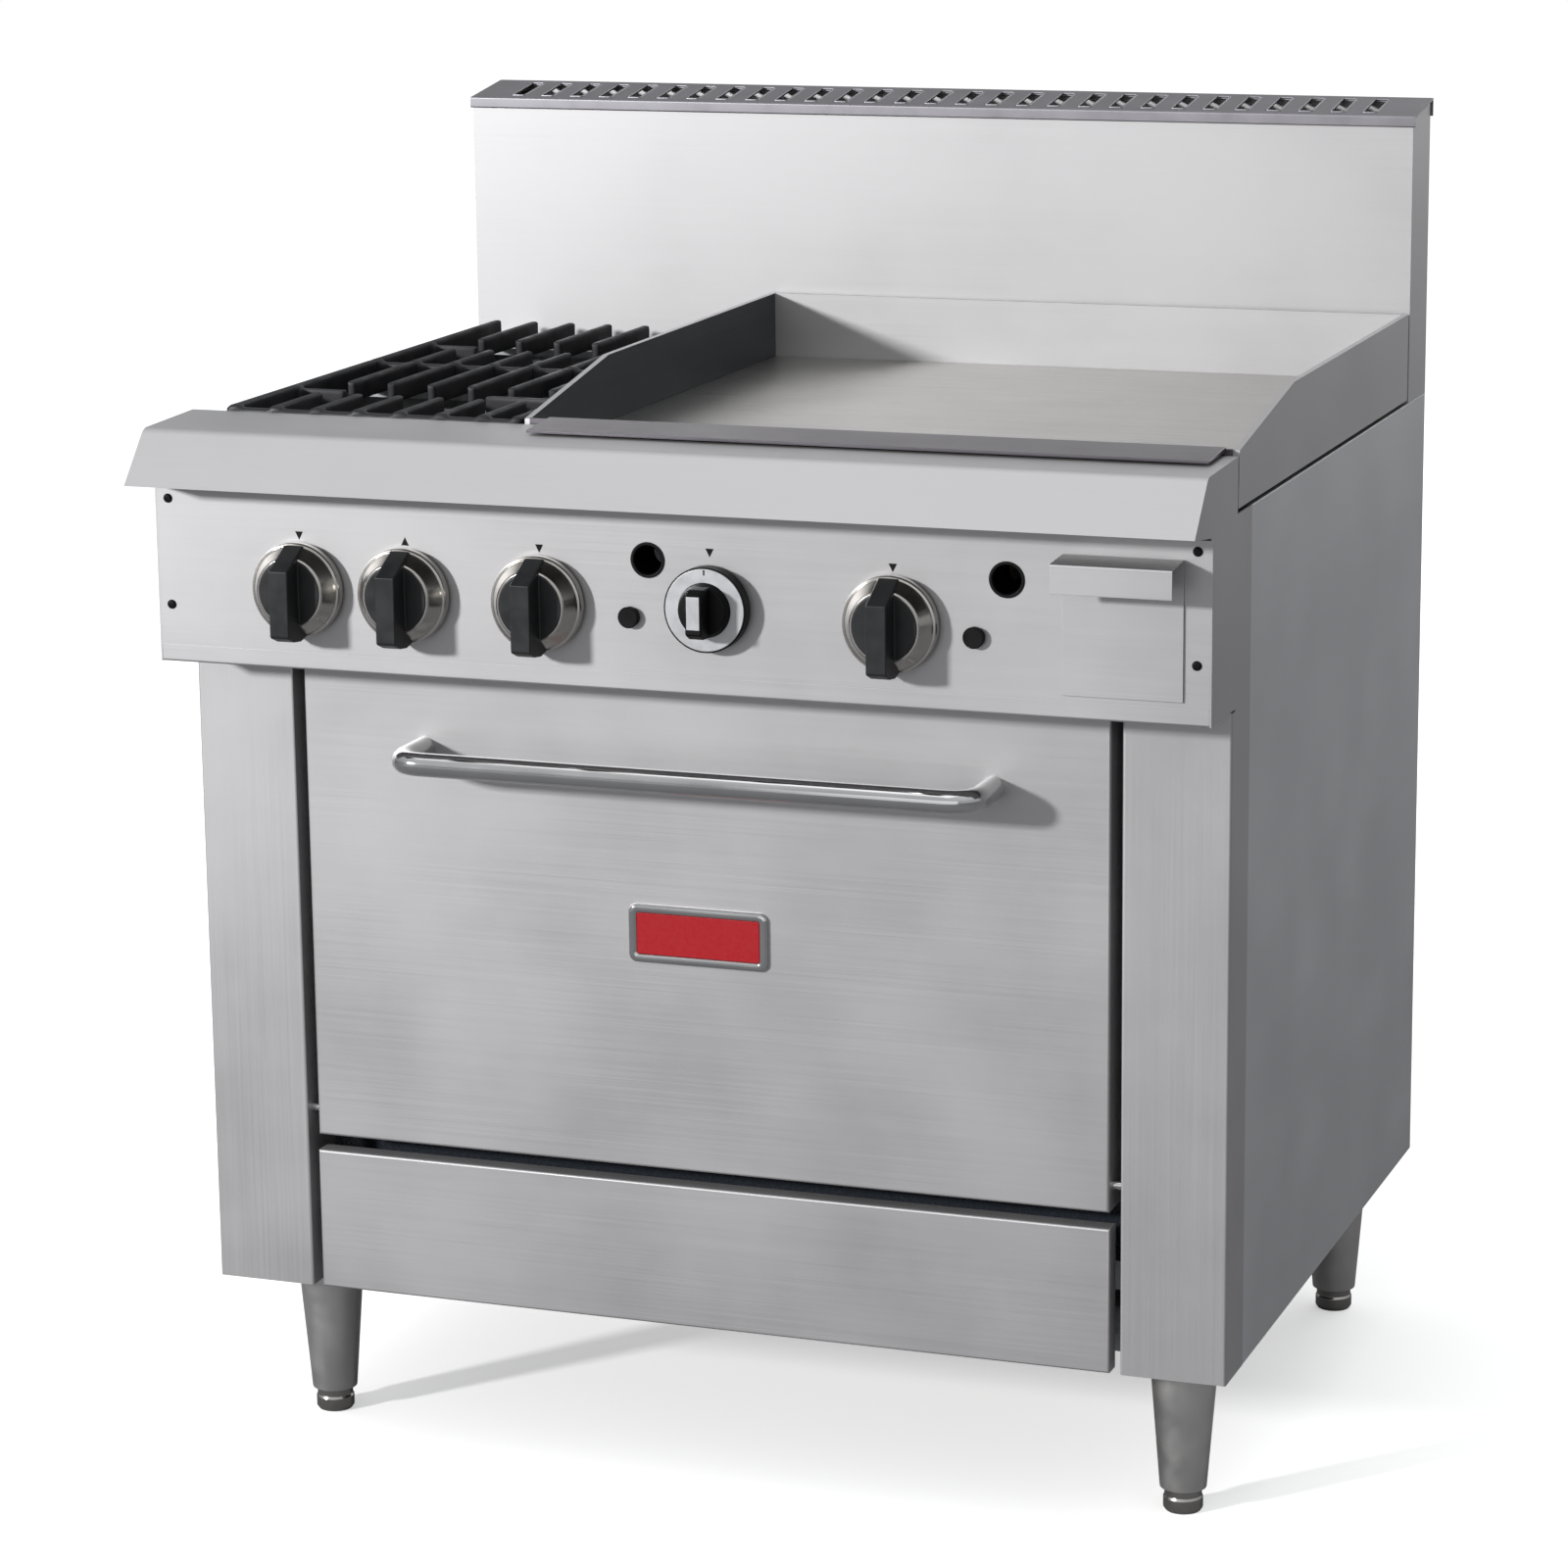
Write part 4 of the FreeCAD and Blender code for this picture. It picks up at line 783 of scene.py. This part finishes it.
def portPieces():
    low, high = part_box("port_grommets")
    z, r = (low.z + high.z) / 2, (high.z - low.z) / 2
    size = inMetres(port)
    bore, sleeve, rim = size["bore"], size["sleeve"], size["radius"]
    outline = roundedPath([(bore, -size["reach"], 0), (sleeve, -size["reach"], 0), (sleeve, -0.1 * mm, 0),
                           (rim, -0.05 * mm, 0.2 * mm), (rim, size["raise"], 0.6 * mm),
                           (bore + 0.8 * mm, size["raise"], 0.6 * mm), (bore, 0, 0)], 4)
    rings = [latheMesh(f"port{i}", outline, (x, panelFace, z), (0, -1, 0), 64, ring=True)
             for i, x in enumerate((low.x + r, high.x - r))]
    finishPiece(joined("sightPorts", rings), "cabinet", finishes["black"],
                ("port_grommets",), 30)


portPieces()


# printed pointer marks over the knobs
marks = {"height": 44.5, "width": 7.0, "tall": 7.0, "raise": 0.15}


def pointerMarks():
    bm = bmesh.new()
    w, t = marks["width"] / 2 * mm, marks["tall"] / 2 * mm
    spots = [(f"{kind}_skirt_{side}", 1 if (kind, side) == ("burner", "right") else -1)
             for kind in ("burner", "griddle") for side in ("left", "right")] + [("thermostat_dial", -1)]
    for node, way in spots:
        low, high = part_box(node)
        x, z = (low.x + high.x) / 2, (low.z + high.z) / 2 + marks["height"] * mm
        corners = [(x - w, z - way * t), (x + w, z - way * t), (x, z + way * t)]
        front = [bm.verts.new((a, panelFace - marks["raise"] * mm, b)) for a, b in corners]
        back = [bm.verts.new((a, panelFace + 0.05 * mm, b)) for a, b in corners]
        bm.faces.new(front)
        bm.faces.new(back[::-1])
        for k in range(3):
            n = (k + 1) % 3
            bm.faces.new([front[n], front[k], back[k], back[n]])
    finishPiece(linkMesh("pointerMarks", bm), "cabinet", finishes["ink"])


pointerMarks()


# door handle
handle = {"radius": 10.0, "bend": 24.0}


def doorHandle():
    low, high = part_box("door_handle")
    r = handle["radius"] * mm
    x0, x1 = low.x + r, high.x - r
    y0, y1, z = low.y + r, high.y, (low.z + high.z) / 2
    bend = handle["bend"] * mm
    path = roundedPath([(x0, y1, 0), (x0, y0, bend), (x1, y0, bend), (x1, y1, 0)], 14)
    bm = bmesh.new()
    rows, around = [], 40
    for i, point in enumerate(path):
        before, after = path[max(i - 1, 0)], path[min(i + 1, len(path) - 1)]
        along = (after - before).normalized()
        across = Vector((-along.y, along.x, 0))
        centre = Vector((point.x, point.y, z))
        rows.append([bm.verts.new(centre + (across * math.cos(t) + Vector((0, 0, 1)) * math.sin(t)) * r)
                     for t in (2 * math.pi * k / around for k in range(around))])
    for a, b in zip(rows, rows[1:]):
        for k in range(around):
            n = (k + 1) % around
            bm.faces.new([a[k], a[n], b[n], b[k]])
    bm.faces.new(rows[0])
    bm.faces.new(rows[-1][::-1])
    finishPiece(linkMesh("doorHandle", bm), "door", finishes["polished"],
                ("door_handle",), 50)


doorHandle()


# badge: chromed bezel round a plain enamel plate
badge = {"corner": 7.0, "plateInset": 7.3, "plateCorner": 2.0, "plateDepth": 2.6}


def roundedRectangle(width, height, radius, steps=8):
    out = []
    for cx, cz, start in ((1, 1, 0), (-1, 1, 90), (-1, -1, 180), (1, -1, 270)):
        for k in range(steps + 1):
            angle = math.radians(start + 90 * k / steps)
            out.append((cx * (width / 2 - radius) + radius * math.cos(angle),
                        cz * (height / 2 - radius) + radius * math.sin(angle)))
    return out


def badgePieces():
    low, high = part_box("badge")
    x, z, back = (low.x + high.x) / 2, (low.z + high.z) / 2, high.y
    width, height = high.x - low.x, high.z - low.z
    size = inMetres(badge)
    bm = bmesh.new()
    # rings of the bezel from its outer foot, over the crown, down to the plate
    section = [(0, 0), (0, 2.2), (0.8, 3.4), (2.6, 4.0), (5.0, 4.0), (6.6, 3.2), (7.5, 1.6), (7.5, 0)]
    rows = []
    for inset, depth in section:
        radius = max(size["corner"] - inset * mm * 0.7, 1.2 * mm)
        outline = roundedRectangle(width - 2 * inset * mm, height - 2 * inset * mm, radius)
        rows.append([bm.verts.new((x + a, back - depth * mm, z + c)) for a, c in outline])
    for a, c in zip(rows, rows[1:] + rows[:1]):
        for k in range(len(a)):
            n = (k + 1) % len(a)
            bm.faces.new([a[k], a[n], c[n], c[k]])
    finishPiece(linkMesh("badgeBezel", bm), "door", finishes["polished"], (), 40)
    inset = 2 * size["plateInset"]
    inner = roundedRectangle(width - inset, height - inset, size["plateCorner"])
    plate = slabMesh("badgePlate", inner, lambda a, c, t: Vector((x + a, back - t, z + c)),
                     size["plateDepth"], 0.4 * mm, 2)
    finishPiece(plate, "door", finishes["redEnamel"], ("badge",))


badgePieces()
print("door trim ready")


# legs and feet
leg = {"topRadius": 30.0, "lowRadius": 20.5, "lowHeight": 21.0, "footRadius": 17.0, "footHeight": 14.0,
       "collar": 16.0}


def legPieces():
    low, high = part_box("legs")
    size = inMetres(leg)
    top, ankle, footTop = size["topRadius"], size["lowRadius"], size["lowHeight"]
    sole, soleHeight, collar = size["footRadius"], size["footHeight"], size["collar"]
    cone = roundedPath([(0, high.z, 0), (top, high.z, 0.6 * mm), (top, high.z - 4 * mm, 1 * mm),
                        (ankle, footTop + 6 * mm, 4 * mm), (ankle - 0.5 * mm, footTop, 0.6 * mm),
                        (0, footTop, 0)], 5)
    foot = roundedPath([(0, 0, 0), (sole - 2 * mm, 0, 1 * mm), (sole, 3 * mm, 1 * mm),
                        (sole, soleHeight - 2 * mm, 0.8 * mm), (collar, soleHeight, 0.6 * mm),
                        (collar, footTop + 1 * mm, 0), (0, footTop + 1 * mm, 0)], 4)
    places = [(x, y, 0) for x in (low.x + top, high.x - top) for y in (low.y + top, high.y - top)]
    cones = [latheMesh(f"leg{i}", cone, place, (0, 0, 1), 64) for i, place in enumerate(places)]
    feet = [latheMesh(f"foot{i}", foot, place, (0, 0, 1), 48) for i, place in enumerate(places)]
    finishPiece(joined("taperedLegs", cones), "cabinet", finishes["legSteel"],
                ("legs",), 30)
    finishPiece(joined("adjustableFeet", feet), "cabinet", finishes["turned"],
                ("leg_feet",), 30)


legPieces()


# screws: pan heads with a cross recess
screw = {"radius": 3.9, "height": 2.2, "panelInset": 3.6, "rearPitch": 95.0, "rearInset": 12.0}


def screwTree():
    inputs = {"Radius": "NodeSocketFloat", "Height": "NodeSocketFloat", "Head": "NodeSocketObject",
              "Finish": "NodeSocketMaterial"}
    tree, given, result = nodeTree("panHeadScrews", inputs)
    shape = addNode(tree, "GeometryNodeObjectInfo", {}, {"Object": given.outputs["Head"]})
    size = addNode(tree, "ShaderNodeCombineXYZ", {},
                   {"X": given.outputs["Radius"], "Y": given.outputs["Height"], "Z": given.outputs["Radius"]})
    spin = addNode(tree, "FunctionNodeRandomValue", {"data_type": "FLOAT", "Seed": 7}, {})
    turn = addNode(tree, "ShaderNodeCombineXYZ", {}, {"Y": spin.outputs[1]})
    each = addNode(tree, "GeometryNodeInstanceOnPoints", {},
                   {"Points": given.outputs["Geometry"], "Instance": shape.outputs["Geometry"],
                    "Scale": size.outputs[0], "Rotation": turn.outputs[0]})
    real = addNode(tree, "GeometryNodeRealizeInstances", {}, {"Geometry": each.outputs[0]})
    coat = addNode(tree, "GeometryNodeSetMaterial", {},
                   {"Geometry": real.outputs[0], "Material": given.outputs["Finish"]})
    tree.links.new(coat.outputs[0], result.inputs[0])
    return tree


def screwHead():
    # unit head facing -Y: domed, with a cross pressed into it
    dome = roundedPath([(0, 0, 0), (1.0, 0, 0), (1.0, 0.35, 0.1), (0.72, 0.9, 0.3), (0.0, 1.0, 0)], 3)
    head = latheMesh("screwHead", dome, (0, 0, 0), (0, -1, 0), 24)
    cutter = bmesh.new()
    for wide, tall in ((1.05, 0.26), (0.26, 1.05)):
        made = bmesh.ops.create_cube(cutter, size=1.0)
        bmesh.ops.scale(cutter, vec=(wide, 0.8, tall), verts=made["verts"])
        bmesh.ops.translate(cutter, vec=(0, -1.0, 0), verts=made["verts"])
    tool = linkMesh("crossRecess", cutter)
    cut = head.modifiers.new("recess", "BOOLEAN")
    cut.operation, cut.object, cut.solver = "DIFFERENCE", tool, "EXACT"
    cut.use_self = True
    bakeModifiers(head)
    bpy.data.objects.remove(tool)
    return head


def screwPieces():
    head, tree = screwHead(), screwTree()
    r, h = screw["radius"] * mm, screw["height"] * mm
    low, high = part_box("panel_screws")
    inset = screw["panelInset"] * mm
    panelSpots = [(x, high.y, z) for x in (low.x + inset, high.x - inset)
                  for z in (low.z + inset, high.z - inset)]
    rows = [("panelScrews", panelSpots, finishes["ink"], "black_pipe", ("panel_screws",), 0)]
    backLow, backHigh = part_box("back_panel")
    edge, pitch = screw["rearInset"] * mm, screw["rearPitch"] * mm
    tall, wide = backHigh.z - backLow.z - 2 * edge, backHigh.x - backLow.x - 2 * edge
    count, across = int(tall / pitch), int(wide / pitch)
    rearSpots = [(x, backHigh.y, backLow.z + edge + tall * i / count)
                 for x in (backLow.x + edge, backHigh.x - edge) for i in range(count + 1)]
    rearSpots += [(backLow.x + edge + wide * i / across, backHigh.y, z)
                  for z in (backLow.z + edge, backHigh.z - edge) for i in range(1, across)]
    rows.append(("rearScrews", rearSpots, finishes["aluminised"], "galvanised_steel", (), 180))
    for name, spots, finish, slotName, replaced, turned in rows:
        points = bpy.data.meshes.new(name)
        turnBack = Matrix.Rotation(math.radians(turned), 4, "Z")
        points.from_pydata([tuple(turnBack @ Vector(spot)) for spot in spots], [], [])
        piece = runTree(name, tree, {"Radius": r, "Height": h, "Head": head, "Finish": finish}, points)
        piece.data.transform(turnBack.inverted())
        finishPiece(piece, "cabinet", None, replaced, 40)
    bpy.data.objects.remove(head)


screwPieces()
print("screws ready")


# pieces kept as the design has them
kept = {"igniter_button_left": "black", "igniter_button_right": "black",
        "base_frame": "zinc", "hob_frame": "aluminised", "gas_manifold": "pipe", "gas_valves": "brass",
        "oven_thermostat": "brass", "gas_inlet_pipe": "pipe", "burner_tubes": "iron",
        "griddle_burners": "aluminised", "oven_liner": "enamel", "oven_floor": "enamel",
        "rack_guide_left": "chrome", "rack_guide_right": "chrome", "oven_rack": "chrome",
        "oven_burner": "iron", "flame_spreader": "aluminised", "oven_insulation": "wool",
        "door_liner": "enamel", "door_insulation": "wool", "door_gasket": "rope", "hinge_pins": "polished"}
for node, finish in kept.items():
    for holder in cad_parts[node].material_slots:
        holder.material = finishes[finish]
